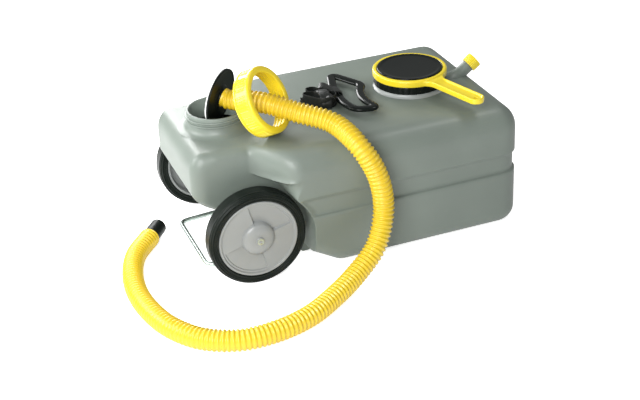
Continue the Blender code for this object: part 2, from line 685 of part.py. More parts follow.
def make_lid(mats):
    seal_low, seal_high, disc_low, top = lid_levels()
    place = Matrix.Translation((LID_X, 0, 0))
    crest = NECK_OUTER_RADIUS + THREAD_DEPTH
    add_object("lid_seal", ring(NECK_BORE_RADIUS - 0.002, crest - 0.001, seal_low, seal_high),
               mats["rubber"], place)
    step = top - LID_STEP_BELOW_TOP
    skirt_low = TOP_Z + COLLAR_HEIGHT + 0.0012
    bore = LID_SKIRT_RADIUS - LID_SKIRT_WALL
    add_object("lid_cap", turned([
        (0, disc_low), (bore, disc_low), (bore, skirt_low), (LID_SKIRT_RADIUS, skirt_low),
        (LID_SKIRT_RADIUS, step - 0.001), (LID_SKIRT_RADIUS - 0.001, step),
        (LID_DISC_RADIUS, step), (LID_DISC_RADIUS, top - 0.0015), (LID_DISC_RADIUS - 0.002, top),
        (LID_DISC_RADIUS - 0.0045, top - 0.0006), (0, top - 0.0006)], FINE_ROUND),
        mats["black"], place)
    make_spanner(step + SEAT_GAP, mats["yellow"])


def spanner_outline(shrink):
    """Plan of the ring and its handle, handle along +X."""
    radius = SPANNER_RING_RADIUS - shrink
    half = SPANNER_HANDLE_WIDTH / 2 - shrink
    blend = SPANNER_BLEND + shrink
    centre_y = half + blend
    centre_x = math.sqrt((radius + blend) ** 2 - centre_y ** 2)
    lean = math.atan2(centre_y, centre_x)
    outline = arc((0, 0), radius, lean, math.tau - lean, 37)
    outline += arc((centre_x, -centre_y), blend, math.pi - lean, math.pi / 2, 6)[1:]
    outline += arc((SPANNER_HANDLE_REACH, 0), half, -math.pi / 2, math.pi / 2, 13)
    outline += arc((centre_x, centre_y), blend, -math.pi / 2, lean - math.pi, 6)[:-1]
    return outline


def make_spanner(low, mat):
    place = Matrix.Translation((LID_X, 0, low)) @ Matrix.Rotation(SPANNER_ANGLE, 4, 'Z')
    spanner = add_object("cap_spanner", extruded(spanner_outline(0), 0, SPANNER_HANDLE_THICKNESS),
                         mat, place)
    ring_top = ring(LID_DISC_RADIUS + SEAT_GAP, SPANNER_RING_RADIUS - 0.0005, 0.002,
                    SPANNER_THICKNESS, FINE_ROUND)
    combine(spanner, [add_tool("spanner_ring", ring_top, place)], 'UNION')
    half = SPANNER_HANDLE_WIDTH / 2 - SPANNER_RIM
    start = SPANNER_RING_RADIUS + 0.012
    channel = arc((SPANNER_HANDLE_REACH, 0), half, -math.pi / 2, math.pi / 2, 11)
    channel += [(start, half), (start, -half)]
    low_z = SPANNER_HANDLE_THICKNESS - SPANNER_CHANNEL_DEPTH
    hole_place = place @ Matrix.Translation((SPANNER_HANDLE_REACH - 0.004, 0, 0))
    combine(spanner, [
        add_tool("spanner_bore", cylinder(LID_DISC_RADIUS + SEAT_GAP, -PAST, PAST, FINE_ROUND), place),
        add_tool("spanner_channel", extruded(channel, low_z, PAST), place),
        add_tool("spanner_hole", cylinder(SPANNER_HOLE_RADIUS, -PAST, PAST, 16), hole_place),
    ], 'DIFFERENCE')


def make_vent_cap(mats):
    place = spout_place()
    seal_low = SPOUT_LENGTH + SEAT_GAP
    seal_high = seal_low + VENT_SEAL_THICKNESS
    add_object("vent_seal", cylinder(SPOUT_END_RADIUS, seal_low, seal_high, 24), mats["rubber"], place)
    inside = seal_high + SEAT_GAP
    top = inside + VENT_CAP_TOP
    skirt = SPOUT_LENGTH - VENT_CAP_SKIRT
    bore = VENT_CAP_RADIUS - VENT_CAP_WALL
    add_object("vent_cap", turned([
        (0, inside), (bore, inside), (bore, skirt), (VENT_CAP_RADIUS, skirt),
        (VENT_CAP_RADIUS, top - 0.001), (VENT_CAP_RADIUS - 0.001, top), (0, top)], 32),
        mats["yellow"], place)


# Hose and its fittings

def make_hose(mats):
    flange = along(FLANGE_NORMAL, FLANGE_CENTRE)
    half = FLANGE_THICKNESS / 2
    add_object("hose_flange", turned([
        (0, -half), (FLANGE_RADIUS - 0.0006, -half), (FLANGE_RADIUS, -half + 0.0006),
        (FLANGE_RADIUS, half - 0.0006), (FLANGE_RADIUS - 0.0006, half), (SPIGOT_RADIUS, half),
        (SPIGOT_RADIUS, half + SPIGOT_LENGTH), (0, half + SPIGOT_LENGTH)]), mats["black"], flange)
    add_object("flange_gasket", ring(GASKET_BORE_RADIUS, FLANGE_RADIUS - 0.0005,
                                     -half - SEAT_GAP - GASKET_THICKNESS, -half - SEAT_GAP),
               mats["white"], flange)
    back = -RING_LENGTH / 2
    front = RING_LENGTH / 2
    bore = RING_RADIUS - RING_WALL
    add_object("union_ring", turned([
        (bore, front - RING_LIP_THICKNESS), (bore, back + 0.0008), (bore + 0.0005, back),
        (RING_RADIUS - 0.001, back), (RING_RADIUS, back + 0.001), (RING_RADIUS, front - 0.0025),
        (RING_RADIUS - 0.0022, front - 0.0005), (RING_RADIUS - 0.0050, front),
        (RING_LIP_RADIUS, front - 0.0005), (RING_LIP_RADIUS, front - RING_LIP_THICKNESS)],
        FINE_ROUND), mats["yellow"], along(RING_AXIS, RING_CENTRE))
    start = FLANGE_CENTRE + FLANGE_NORMAL * (half + SPIGOT_LENGTH + SEAT_GAP)
    straight = start + FLANGE_NORMAL * HOSE_STRAIGHT
    path = [start] + smooth_path([straight] + HOSE_ROUTE, HOSE_POINT_SPACING)
    tube("hose", path, HOSE_RADIUS, mats["yellow"])
    direction = (path[-1] - path[-2]).normalized()
    direction.z = 0
    cuff = along(direction, path[-1])
    add_object("hose_cuff", turned([
        (0, SEAT_GAP), (CUFF_RADIUS, SEAT_GAP), (CUFF_RADIUS, CUFF_LENGTH - 0.001),
        (CUFF_RADIUS - 0.001, CUFF_LENGTH), (CUFF_BORE_RADIUS, CUFF_LENGTH),
        (CUFF_BORE_RADIUS, CUFF_LENGTH * 0.3), (0, CUFF_LENGTH * 0.3)], 20), mats["black"], cuff)


# Pull strap and grip

def anchor_screw_places():
    x, y = STRAP_CENTRE
    half = ANCHOR_SCREW_SPACING / 2
    return [(x, y - half), (x, y + half)]


def grip_frame():
    """Placement of the grip: local X along its long side, Y across, origin on the long side."""
    height = TOP_Z + 2 * SEAT_GAP + STRAP_LOOP_THICKNESS + GRIP_HALF_WIDTH
    return Matrix.Translation((*GRIP_CENTRE, height)) @ Matrix.Rotation(GRIP_ANGLE, 4, 'Z')


def make_strap_and_grip(mats):
    x, y = STRAP_CENTRE
    width, length, thickness = ANCHOR_SIZE
    low = TOP_Z + SEAT_GAP
    anchor = extruded([(-width / 2, -length / 2), (width / 2, -length / 2),
                       (width / 2, length / 2), (-width / 2, length / 2)], 0, thickness)
    anchor = add_object("strap_anchor", anchor, mats["black"], Matrix.Translation((x, y, low)))
    head_low = low + thickness + SEAT_GAP
    holes = []
    for index, (screw_x, screw_y) in enumerate(anchor_screw_places()):
        hole = cylinder(SCREW_SHANK_RADIUS + SEAT_GAP, -PAST, PAST, 12)
        place = Matrix.Translation((screw_x, screw_y, head_low))
        holes.append(add_tool(f"anchor_hole_{index + 1}", hole, place))
        tip = TOP_Z - SCREW_LENGTH + SEAT_GAP - head_low
        add_object(f"anchor_screw_{index + 1}", turned([
            (0, tip), (SCREW_SHANK_RADIUS * 0.6, tip), (SCREW_SHANK_RADIUS, tip + 0.0015),
            (SCREW_SHANK_RADIUS, 0), (SCREW_HEAD_RADIUS, 0), (SCREW_HEAD_RADIUS, 0.0006),
            (SCREW_HEAD_RADIUS * 0.6, SCREW_HEAD_HEIGHT), (0, SCREW_HEAD_HEIGHT)], 16),
            mats["steel"], place)
    combine(anchor, holes, 'DIFFERENCE')

    frame = grip_frame()
    path = rounded_path([(*corner, 0) for corner in GRIP_CORNERS], GRIP_CORNER_RADIUS, 5, True)
    grip = tube("pull_grip", path, GRIP_HALF_WIDTH, mats["black"], True)
    grip.matrix_world = frame @ Matrix.Diagonal((1, 1, GRIP_HALF_HEIGHT / GRIP_HALF_WIDTH, 1))

    # soft bundle of webbing over the anchor, with one loop round the grip's long side
    base = head_low + SCREW_HEAD_HEIGHT + SEAT_GAP
    pad = bmesh.new()
    bmesh.ops.create_uvsphere(pad, u_segments=20, v_segments=10, radius=1.0)
    for v in pad.verts:
        v.co = Vector([math.copysign(abs(c) ** 0.7, c) * size / 2 for c, size in zip(v.co, STRAP_SIZE)])
    strap = add_object("pull_strap", pad, mats["webbing"],
                       Matrix.Translation((x, y, base + STRAP_SIZE[2] / 2)))
    bar = GRIP_HALF_WIDTH + SEAT_GAP
    round_bar = frame @ Matrix.Rotation(math.pi / 2, 4, 'Y')
    half = STRAP_LOOP_WIDTH / 2
    loop = ring(bar, bar + STRAP_LOOP_THICKNESS, -half, half, 24)
    tongue = extruded([(-half, 0), (half, 0), (half, STRAP_TONGUE), (-half, STRAP_TONGUE)],
                      bar + 0.0003, bar + STRAP_LOOP_THICKNESS - 0.0001)
    combine(strap, [add_tool("strap_loop", loop, round_bar), add_tool("strap_tongue", tongue, frame)],
            'UNION')


def main():
    clear_scene()
    mats = {
        "grey": material("grey_polyethylene", (0.36, 0.38, 0.36), 0.45),
        "hub": material("hub_plastic", (0.66, 0.66, 0.68), 0.40),
        "rubber": material("black_rubber", (0.02, 0.022, 0.022), 0.55),
        "black": material("black_plastic", (0.012, 0.013, 0.013), 0.25),
        "dark": material("spacer_plastic", (0.10, 0.10, 0.10), 0.50),
        "yellow": material("yellow_plastic", (0.92, 0.66, 0.02), 0.35),
        "white": material("white_gasket", (0.85, 0.85, 0.83), 0.50),
        "steel": material("zinc_plated_steel", (0.62, 0.66, 0.64), 0.30, 1.0),
        "webbing": material("black_webbing", (0.015, 0.016, 0.016), 0.80),
    }
    make_body(mats["grey"])
    half_length = max(make_wheel(side, mats) for side in (-1, 1))
    make_axle(half_length, mats["steel"])
    make_bail(mats["steel"])
    make_lid(mats)
    make_vent_cap(mats)
    make_hose(mats)
    make_strap_and_grip(mats)


main()
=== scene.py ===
# %% [markdown]
# # A portable waste water tank
# A flat moulded canister lies on its belly. It rolls on two wheels at one end, which the
# lesson calls the wheel end, and has a screw lid at the other. A yellow drain hose hangs out
# of the open front neck and lies in a wide loop on the floor. We work in metres, with Z up.

# %% Load the measured solids
import math

import bmesh
import bpy
import numpy as np
from mathutils import Matrix, Vector


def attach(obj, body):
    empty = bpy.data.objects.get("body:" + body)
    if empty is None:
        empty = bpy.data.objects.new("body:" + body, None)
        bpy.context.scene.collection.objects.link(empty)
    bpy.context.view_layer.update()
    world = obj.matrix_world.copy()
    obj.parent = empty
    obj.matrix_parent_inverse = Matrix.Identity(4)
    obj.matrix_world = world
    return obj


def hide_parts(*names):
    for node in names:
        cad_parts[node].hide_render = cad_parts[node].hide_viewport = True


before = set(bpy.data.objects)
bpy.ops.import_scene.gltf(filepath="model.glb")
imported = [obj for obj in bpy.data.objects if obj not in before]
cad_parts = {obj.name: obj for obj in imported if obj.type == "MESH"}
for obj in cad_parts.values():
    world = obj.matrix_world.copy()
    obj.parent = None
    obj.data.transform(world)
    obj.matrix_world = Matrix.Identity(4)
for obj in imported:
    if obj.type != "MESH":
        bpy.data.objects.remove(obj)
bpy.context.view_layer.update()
scene = bpy.context.scene

# %% [markdown]
# ## The camera
# The photograph was taken from the near side, above the wheel end. A long lens keeps the far
# wheel almost as large as the near one. The camera's turn is three angles: yaw to the right,
# pitch down, and a slight roll.

# %% Camera
CAMERA_PLACE = (-0.7561, -1.7524, 1.0581)
CAMERA_YAW, CAMERA_PITCH, CAMERA_ROLL = np.radians([20.15, 28.86, -2.86])
FOCAL_PIXELS = 1324.6
PHOTO_WIDTH = 640

camera_data = bpy.data.cameras.new("camera")
camera_data.sensor_width = 36.0
camera_data.lens = FOCAL_PIXELS / PHOTO_WIDTH * camera_data.sensor_width
camera = bpy.data.objects.new("camera", camera_data)
turn = (Matrix.Rotation(-CAMERA_YAW, 4, 'Z') @ Matrix.Rotation(math.pi / 2 - CAMERA_PITCH, 4, 'X')
        @ Matrix.Rotation(CAMERA_ROLL, 4, 'Z'))
camera.matrix_world = Matrix.Translation(CAMERA_PLACE) @ turn
scene.collection.objects.link(camera)
scene.camera = camera
print(f"lens {camera_data.lens:.1f} mm")

# %% [markdown]
# ## The floor and the light
# The floor is a plain pale sheet that shines a little, and the room round it is dim. In the
# photograph the wheel end is almost white and the lid end much darker, so the key light
# stands close to the wheel end. A panel on the far side mirrors in the top there and whitens
# it. A fill in front lights the near side, and a small light above draws the top's near edge.


# %% Floor and lights
def add_light(name, place, target, size, power):
    """A square area light at a place, facing a target."""
    data = bpy.data.lights.new(name, 'AREA')
    data.energy = power
    data.size = size
    light = bpy.data.objects.new(name, data)
    aim = (Vector(target) - Vector(place)).to_track_quat('-Z', 'Y')
    light.matrix_world = Matrix.Translation(place) @ aim.to_matrix().to_4x4()
    light.visible_camera = False
    scene.collection.objects.link(light)


FLOOR_HALF = 7.0
floor_mesh = bpy.data.meshes.new("floor")
floor_corners = [(x * FLOOR_HALF, y * FLOOR_HALF, 0) for x, y in ((-1, -1), (1, -1), (1, 1), (-1, 1))]
floor_mesh.from_pydata(floor_corners, [], [(0, 1, 2, 3)])
floor = bpy.data.objects.new("floor", floor_mesh)
scene.collection.objects.link(floor)

add_light("key", (-0.88, 0.12, 0.60), (-0.30, 0.0, 0.17), 0.5, 8)
add_light("panel", (-0.30, 0.95, 0.62), (-0.25, 0.0, 0.2), 0.6, 12)
add_light("fill", (-0.80, -0.95, 0.72), (-0.25, -0.1, 0.12), 0.6, 16)
add_light("crease", (0.36, -0.12, 0.95), (0.02, -0.12, 0.2), 0.25, 1.5)
scene.world = bpy.data.worlds.new("studio")
scene.world.use_nodes = True
background = scene.world.node_tree.nodes["Background"]
background.inputs["Color"].default_value = (1.0, 1.0, 1.0, 1)
background.inputs["Strength"].default_value = 0.30
scene.view_settings.view_transform = 'Standard'

# %% [markdown]
# ## Shader maths as Python
# A finish is easier to read as arithmetic than as a web of nodes. `Wire` wraps one output
# socket, and its operators add the Math nodes. `Finish` makes a material, and its `node`
# method adds any other node.


# %% Wires and finishes
class Wire:
    """An output socket that can be added, subtracted and multiplied like a number."""

    def __init__(self, finish, socket):
        self.finish = finish
        self.socket = socket

    def maths(self, operation, *values):
        return self.finish.node('ShaderNodeMath', {"operation": operation}, *values)

    def __add__(self, other):
        return self.maths('ADD', self, other)

    def __sub__(self, other):
        return self.maths('SUBTRACT', self, other)

    def __rsub__(self, other):
        return self.maths('SUBTRACT', other, self)

    def __mul__(self, other):
        return self.maths('MULTIPLY', self, other)

    __radd__ = __add__
    __rmul__ = __mul__

    def sine(self):
        return self.maths('SINE', self)

    def eased(self, low, high):
        """0 below low and 1 above high, smooth between."""
        return self.finish.node('ShaderNodeMapRange', {"interpolation_type": 'SMOOTHSTEP'},
                                self, low, high, 0.0, 1.0)


class Finish:
    """A material whose nodes are written as expressions."""

    def __init__(self, name, roughness=0.5, metallic=0.0, coat=0.0, specular=0.5):
        self.material = bpy.data.materials.new(name)
        self.material.use_nodes = True
        self.tree = self.material.node_tree
        self.shader = self.tree.nodes["Principled BSDF"]
        self.set("Roughness", roughness)
        self.set("Metallic", metallic)
        self.set("Coat Weight", coat)
        self.set("Specular IOR Level", specular)

    def set(self, name, value):
        """Put a number, a colour or a wire on one of the shader's sockets."""
        self.feed(self.shader.inputs[name], value)

    def feed(self, socket, value):
        if isinstance(value, Wire):
            self.tree.links.new(value.socket, socket)
        elif isinstance(value, tuple) and len(value) == 3 and socket.type == 'RGBA':
            socket.default_value = (*value, 1.0)
        else:
            socket.default_value = value

    def node(self, kind, settings=None, *values, output=0, **named):
        """Add a node: its settings first, then the values or wires of its sockets."""
        node = self.tree.nodes.new(kind)
        for key, value in (settings or {}).items():
            setattr(node, key, value)
        for socket, value in zip(node.inputs, values):
            self.feed(socket, value)
        for key, value in named.items():
            self.feed(node.inputs[key.replace("_", " ")], value)
        return Wire(self, node.outputs[output])

    def place(self):
        return self.node('ShaderNodeTexCoord', output=3)

    def axis(self, place, index):
        return self.node('ShaderNodeSeparateXYZ', None, place, output=index)

    def noise(self, place, scale, detail=2.0, roughness=0.5):
        return self.node('ShaderNodeTexNoise', None, Vector=place, Scale=scale, Detail=detail,
                         Roughness=roughness)

    def mix(self, factor, first, second):
        """Colour that goes from the first to the second."""
        node = self.tree.nodes.new('ShaderNodeMix')
        node.data_type = 'RGBA'
        for name, value in (("Factor_Float", factor), ("A_Color", first), ("B_Color", second)):
            socket = next(s for s in node.inputs if s.identifier == name)
            self.feed(socket, value)
        return Wire(self, next(s for s in node.outputs if s.identifier == "Result_Color"))

    def bump(self, height, distance, strength=1.0):
        """Small relief, in metres, in the shader's normal."""
        wire = self.node('ShaderNodeBump', None, Height=height, Distance=distance, Strength=strength)
        self.set("Normal", wire)


# %% [markdown]
# ## Moulded polyethylene
# The tank is blow moulded: hot plastic is pressed against a mould, so the skin is satin, with
# a very fine orange peel and slow changes of shade where the wall is thicker. Scuffs show
# lighter. Everything is worked out from the place on the object, so nothing slides. The other
# plastics of the object are the same finish with other numbers.


# %% Moulded plastics
def moulded_plastic(name, colour, shade, roughness, peel=0.00012, coat=0.0, specular=0.5):
    """Satin plastic: slow change of shade, orange peel (its height in metres), faint scuffs."""
    finish = Finish(name, roughness, coat=coat, specular=specular)
    place = finish.place()
    cloud = finish.noise(place, 9.0, 3.0)
    scuff = finish.noise(place, 60.0, 4.0, 0.7).eased(0.60, 0.78)
    tint = finish.mix(cloud.eased(0.3, 0.7), colour, shade)
    light = tuple(min(1.0, c * 1.15 + 0.002) for c in colour)
    finish.set("Base Color", finish.mix(scuff * 0.30, tint, light))
    finish.set("Roughness", roughness + scuff * 0.10 + (cloud - 0.5) * 0.08)
    finish.bump(finish.noise(place, 420.0, 2.0), peel, 0.5)
    return finish.material


GREY = (0.158, 0.188, 0.163)
tank_grey = moulded_plastic("tank_grey", GREY, tuple(c * 0.90 for c in GREY), 0.46, coat=0.06)
pale_grey = moulded_plastic("pale_grey", (0.30, 0.32, 0.31), (0.27, 0.29, 0.28), 0.40)
hub_plastic = moulded_plastic("hub_plastic", (0.25, 0.262, 0.258), (0.22, 0.232, 0.230), 0.33)
YELLOW = (0.72, 0.58, 0.020)
yellow_plastic = moulded_plastic("yellow_plastic", YELLOW, (0.73, 0.56, 0.017), 0.34, 0.00006, 0.15)
yellow_hose = moulded_plastic("yellow_hose", (0.64, 0.46, 0.017), (0.63, 0.43, 0.013), 0.36, 0.00005, 0.12)
black_gloss = moulded_plastic("black_gloss", (0.004, 0.006, 0.005), (0.006, 0.008, 0.007), 0.16,
                              0.00004, specular=0.2)
black_satin = moulded_plastic("black_satin", (0.005, 0.007, 0.006), (0.008, 0.010, 0.009), 0.36,
                              specular=0.12)
dark_plastic = moulded_plastic("dark_plastic", (0.08, 0.08, 0.08), (0.10, 0.10, 0.10), 0.45)
white_gasket = moulded_plastic("white_gasket", (0.82, 0.83, 0.80), (0.76, 0.78, 0.75), 0.55)

# %% [markdown]
# ## Rubber, steel and webbing
# Tyre rubber is black with a soft greenish sheen, and dust lies low on it. The zinc on the
# steel rod is pale, a little green, and spangled. The pull strap is polyester webbing: two
# sets of threads cross in it, which two sine waves along the ribbon's own map can draw.


# %% Rubber, steel and webbing
def dusty_rubber():
    finish = Finish("tyre_rubber", 0.42, specular=0.14)
    place = finish.place()
    dust = finish.noise(place, 35.0, 4.0, 0.65).eased(0.48, 0.74)
    finish.set("Base Color", finish.mix(dust * 0.35, (0.006, 0.009, 0.007), (0.020, 0.024, 0.020)))
    finish.set("Roughness", dust * 0.22 + 0.34)
    finish.bump(finish.noise(place, 700.0, 2.0), 0.00006, 0.6)
    return finish.material


def spangled_steel():
    finish = Finish("zinc_steel", 0.30, metallic=1.0)
    place = finish.place()
    spangle = finish.node('ShaderNodeTexVoronoi', None, Vector=place, Scale=160.0)
    grime = finish.noise(place, 50.0, 3.0).eased(0.45, 0.75)
    finish.set("Base Color", finish.mix(grime, (0.52, 0.60, 0.56), (0.32, 0.38, 0.35)))
    finish.set("Roughness", spangle * 0.20 + grime * 0.12 + 0.20)
    return finish.material


def woven_threads():
    """Height of the weave = 0.5 + 0.5 sin(a u) sin(b v), with u across and v along the band."""
    finish = Finish("black_webbing", 0.5, specular=0.4)
    lie = finish.node('ShaderNodeUVMap', {"uv_map": "ribbon"})
    warp = (finish.axis(lie, 0) * 2100.0).sine()
    weft = (finish.axis(lie, 1) * 2600.0).sine()
    weave = warp * weft * 0.5 + 0.5
    finish.set("Base Color", finish.mix(weave, (0.004, 0.005, 0.0045), (0.015, 0.018, 0.016)))
    finish.set("Roughness", weave * 0.25 + 0.30)
    finish.bump(weave, 0.00018, 0.8)
    return finish.material


tyre_rubber = dusty_rubber()
zinc_steel = spangled_steel()
black_webbing = woven_threads()
print("finishes:", len(bpy.data.materials))

# %% [markdown]
# ## Surfaces from arrays
# Every new piece is a grid of points bent into shape. `sheet` joins the neighbours of a grid
# into quads, `turned` revolves a profile as a lathe does, and `carried` slides a section
# along a path, as a hose or a ribbon is made. `make` welds the seams, turns the faces
# outwards and puts the piece on the body that it moves with.


# %% Grid, lathe and sweep
def sheet(points, wrap_rows=False, wrap_columns=False):
    """Points of a grid, and the quads that join its neighbours."""
    rows, columns = points.shape[:2]
    row, column = np.meshgrid(np.arange(rows if wrap_rows else rows - 1),
                              np.arange(columns if wrap_columns else columns - 1), indexing='ij')
    below, beside = (row + 1) % rows, (column + 1) % columns
    quads = np.stack([row * columns + column, below * columns + column,
                      below * columns + beside, row * columns + beside], axis=-1)
    return points.reshape(-1, 3), quads.reshape(-1, 4)


def placed(points, place):
    """place applied to all points at once: rotation times point, plus the origin."""
    matrix = np.array(place)
    return points @ matrix[:3, :3].T + matrix[:3, 3]


def turned(profile, place, angles=96, swell=None, lift=None):
    """(r cos a, r sin a, h) for each (r, h) of the profile and each angle a.

    swell(a, r, h) is added to r, and lift(a, r, h) to h, for ribs and sunk panels.
    """
    if isinstance(angles, int):
        angles = np.arange(angles) * (2 * np.pi / angles)
    radius, height = np.array(profile, float).T
    radius, angle = np.broadcast_arrays(radius[:, None], angles)
    height = np.broadcast_to(height[:, None], radius.shape)
    radius, height = (radius + (swell(angle, radius, height) if swell else 0),
                      height + (lift(angle, radius, height) if lift else 0))
    points = np.stack([radius * np.cos(angle), radius * np.sin(angle), height], axis=-1)
    is_ring = profile[0][0] > 0 and profile[-1][0] > 0
    return sheet(placed(points, place), wrap_rows=is_ring, wrap_columns=True)


def along(axis, origin):
    """Placement whose local Z runs along the axis."""
    return Matrix.Translation(origin) @ Vector(axis).to_track_quat('Z', 'Y').to_matrix().to_4x4()


def carried(path, section, closed=False):
    """path + a side + b up for each (a, b) of the section, which may change along the path.

    The up direction is passed from station to station, so the section never spins.
    """
    path = np.asarray(path, float)
    ahead = np.roll(path, -1, 0) - np.roll(path, 1, 0) if closed else np.gradient(path, axis=0)
    ahead /= np.linalg.norm(ahead, axis=1, keepdims=True)
    ups = np.empty_like(path)
    held = np.array([0.0, 0.0, 1.0])
    for station, direction in enumerate(ahead):
        held = held - direction * (held @ direction)
        held /= np.linalg.norm(held)
        ups[station] = held
    sides = np.cross(ahead, ups)
    section = np.broadcast_to(section, (len(path), *np.shape(section)[-2:]))
    points = (path[:, None] + section[..., :1] * sides[:, None] + section[..., 1:] * ups[:, None])
    if not closed:
        ends = np.repeat(path[[0, -1], None], points.shape[1], axis=1)
        points = np.concatenate([ends[:1], points, ends[1:]])
    return sheet(points, wrap_rows=closed, wrap_columns=True)


def softened(corners, closed=False, steps=5):
    """Each corner (..., setback) becomes (1-t)² a + 2t(1-t) corner + t² b, a and b set back."""
    corners = np.array(corners, float)
    t = np.linspace(0, 1, steps)[:, None]
    outline = []
    for index, (*corner, setback) in enumerate(corners):
        corner = np.array(corner)
        if setback == 0 or (not closed and index in (0, len(corners) - 1)):
            outline.append(corner[None])
            continue
        back = corners[index - 1, :-1] - corner
        ahead = corners[(index + 1) % len(corners), :-1] - corner
        a = corner + back / np.linalg.norm(back) * setback
        b = corner + ahead / np.linalg.norm(ahead) * setback
        outline.append((1 - t) ** 2 * a + 2 * t * (1 - t) * corner + t ** 2 * b)
    return np.concatenate(outline)


def round_section(radius, steps=24):
    angle = np.arange(steps) * (2 * np.pi / steps)
    return np.stack([radius * np.cos(angle), radius * np.sin(angle)], axis=-1)


def smoothstep(low, high, value):
    t = np.clip((value - low) / (high - low), 0, 1)
    return t * t * (3 - 2 * t)


# %% From arrays to a piece
def make(name, shells, finish, body, replaces=(), smooth=40, lies=None):
    """Join shells, weld their seams, point them outwards, and let the piece ride.

    Edges sharper than smooth degrees stay sharp. lies are the points' places on a ribbon, in
    metres, for a weave that follows it.
    """
    starts = np.cumsum([0] + [len(points) for points, _ in shells[:-1]])
    points = np.concatenate([points for points, _ in shells])
    faces = np.concatenate([faces + start for (_, faces), start in zip(shells, starts)])
    mesh = bpy.data.meshes.new(name)
    mesh.from_pydata(points.tolist(), [], faces.tolist())
    if lies is not None:
        layer = mesh.uv_layers.new(name="ribbon")
        layer.data.foreach_set("uv", np.concatenate(lies)[faces.ravel()].ravel())
    welded = bmesh.new()
    welded.from_mesh(mesh)
    bmesh.ops.remove_doubles(welded, verts=welded.verts, dist=1e-6)
    bmesh.ops.dissolve_degenerate(welded, edges=welded.edges, dist=1e-7)
    bmesh.ops.recalc_face_normals(welded, faces=welded.faces)
    welded.to_mesh(mesh)
    welded.free()
    mesh.shade_smooth()
    mesh.set_sharp_from_angle(angle=math.radians(smooth))
    mesh.materials.append(finish)
    piece = bpy.data.objects.new(name, mesh)
    scene.collection.objects.link(piece)
    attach(piece, body)
    if replaces:
        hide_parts(*replaces)
    print(f"{name}: {len(mesh.polygons)} faces")
    return piece


def stops(marks, step):
    """Grid positions that hit every mark, with at most a step between them."""
    parts = [np.linspace(a, b, max(1, math.ceil((b - a) / step - 1e-9)) + 1)[:-1]
             for a, b in zip(marks, marks[1:])]
    return np.append(np.concatenate(parts), marks[-1])


# %% [markdown]
# ## The drain hose
# The hose is the real object's one free, flexible piece: about 32 mm across, ribbed all the
# way, and stiff enough to stand in an arc over the tank's shoulder before it lies on the
# floor. The photograph shows it from end to end. Its middle line is a smooth curve through
# measured points. The wall is a circle carried along it, whose radius rises and falls once
# for every rib.

# %% The hose's middle line
TOP_Z = 0.200
AXLE_X = -0.266
WHEEL_RADIUS = 0.075
FLANGE_CENTRE = Vector((-0.2655, -0.0072, TOP_Z + 0.0467))
FLANGE_NORMAL = Vector((0.696, -0.691, -0.196)).normalized()
HOSE_RADIUS = 0.0160
RIB_PITCH, RIB_DEPTH = 0.0066, 0.0021
LYING = HOSE_RADIUS + 0.0004
HOSE_START = FLANGE_CENTRE + FLANGE_NORMAL * 0.0058
HOSE_ROUTE = [
    tuple(HOSE_START + FLANGE_NORMAL * 0.011),
    (-0.2280, -0.0435, 0.2470), (-0.2060, -0.0660, 0.2445), (-0.1716, -0.0927, 0.2350),
    (-0.1310, -0.1250, 0.2230), (-0.1085, -0.1755, 0.1975), (-0.0895, -0.1870, 0.1535),
    (-0.0842, -0.1910, 0.1056), (-0.1004, -0.2060, 0.0614), (-0.1303, -0.2200, 0.0358),
    (-0.1725, -0.2440, 0.0205), (-0.2352, -0.2826, 0.0165), (-0.2866, -0.2996, LYING),
    (-0.3366, -0.3028, LYING), (-0.3839, -0.2850, LYING), (-0.4232, -0.2399, LYING),
    (-0.4461, -0.1643, LYING), (-0.4456, -0.0856, LYING), (-0.4214, -0.0126, LYING),
    (-0.3900, 0.0270, LYING),
]


def smooth_line(route, spacing):
    """Catmull-Rom: 0.5 (2b + (c-a) t + (2a-5b+4c-d) t² + (3b-a-3c+d) t³), then even spacing."""
    knots = np.array(route, float)
    knots = np.concatenate([[2 * knots[0] - knots[1]], knots, [2 * knots[-1] - knots[-2]]])
    a, b, c, d = (knots[i:len(knots) - 3 + i, None] for i in range(4))
    t = (np.arange(24) / 24)[None, :, None]
    dense = 0.5 * (2 * b + (c - a) * t + (2 * a - 5 * b + 4 * c - d) * t ** 2
                   + (3 * b - a - 3 * c + d) * t ** 3)
    dense = np.concatenate([dense.reshape(-1, knots.shape[1]), knots[-2:-1]])
    travelled = np.append(0, np.cumsum(np.linalg.norm(np.diff(dense[:, :3], axis=0), axis=1)))
    places = np.linspace(0, travelled[-1], round(travelled[-1] / spacing) + 1)
    return np.stack([np.interp(places, travelled, column) for column in dense.T], axis=-1)


measured_bends = smooth_line(HOSE_ROUTE, 0.055)
hose_line = smooth_line([tuple(HOSE_START), *measured_bends], RIB_PITCH / 8)
hose_length = float(np.linalg.norm(np.diff(hose_line, axis=0), axis=1).sum())
print(f"hose: {hose_length:.3f} m, {hose_length / RIB_PITCH:.0f} ribs")


# %% The ribbed wall
def ribbed_hose():
    """Circle of radius R - d (1 - crest), where crest is a rounded square wave, once a pitch."""
    travelled = np.arange(len(hose_line)) * (hose_length / (len(hose_line) - 1))
    wave = np.cos(2 * np.pi * travelled / RIB_PITCH)
    crest = smoothstep(-0.75, 0.75, wave)
    radius = HOSE_RADIUS - RIB_DEPTH * (1 - crest)
    radius -= 0.0012 * (1 - smoothstep(0.006, 0.030, travelled))  # a little thinner at the flange
    section = round_section(1.0, 28) * radius[:, None, None]
    return carried(hose_line, section)


hose = make("drain_hose", [ribbed_hose()], yellow_hose, "tank", ["hose"], smooth=80)

# %% [markdown]
# ## The moulded tank
# The real tank is one hollow blow moulding. Its skin is worked out here from a plain box in
# four steps, each a formula on all points at once: round the edges, press the band into the
# sides, lift the underside of the wheel end to a ramp, and narrow that end to a waist.
# `Solidify` then gives the skin its 3 mm wall, so the open neck shows a real hollow.

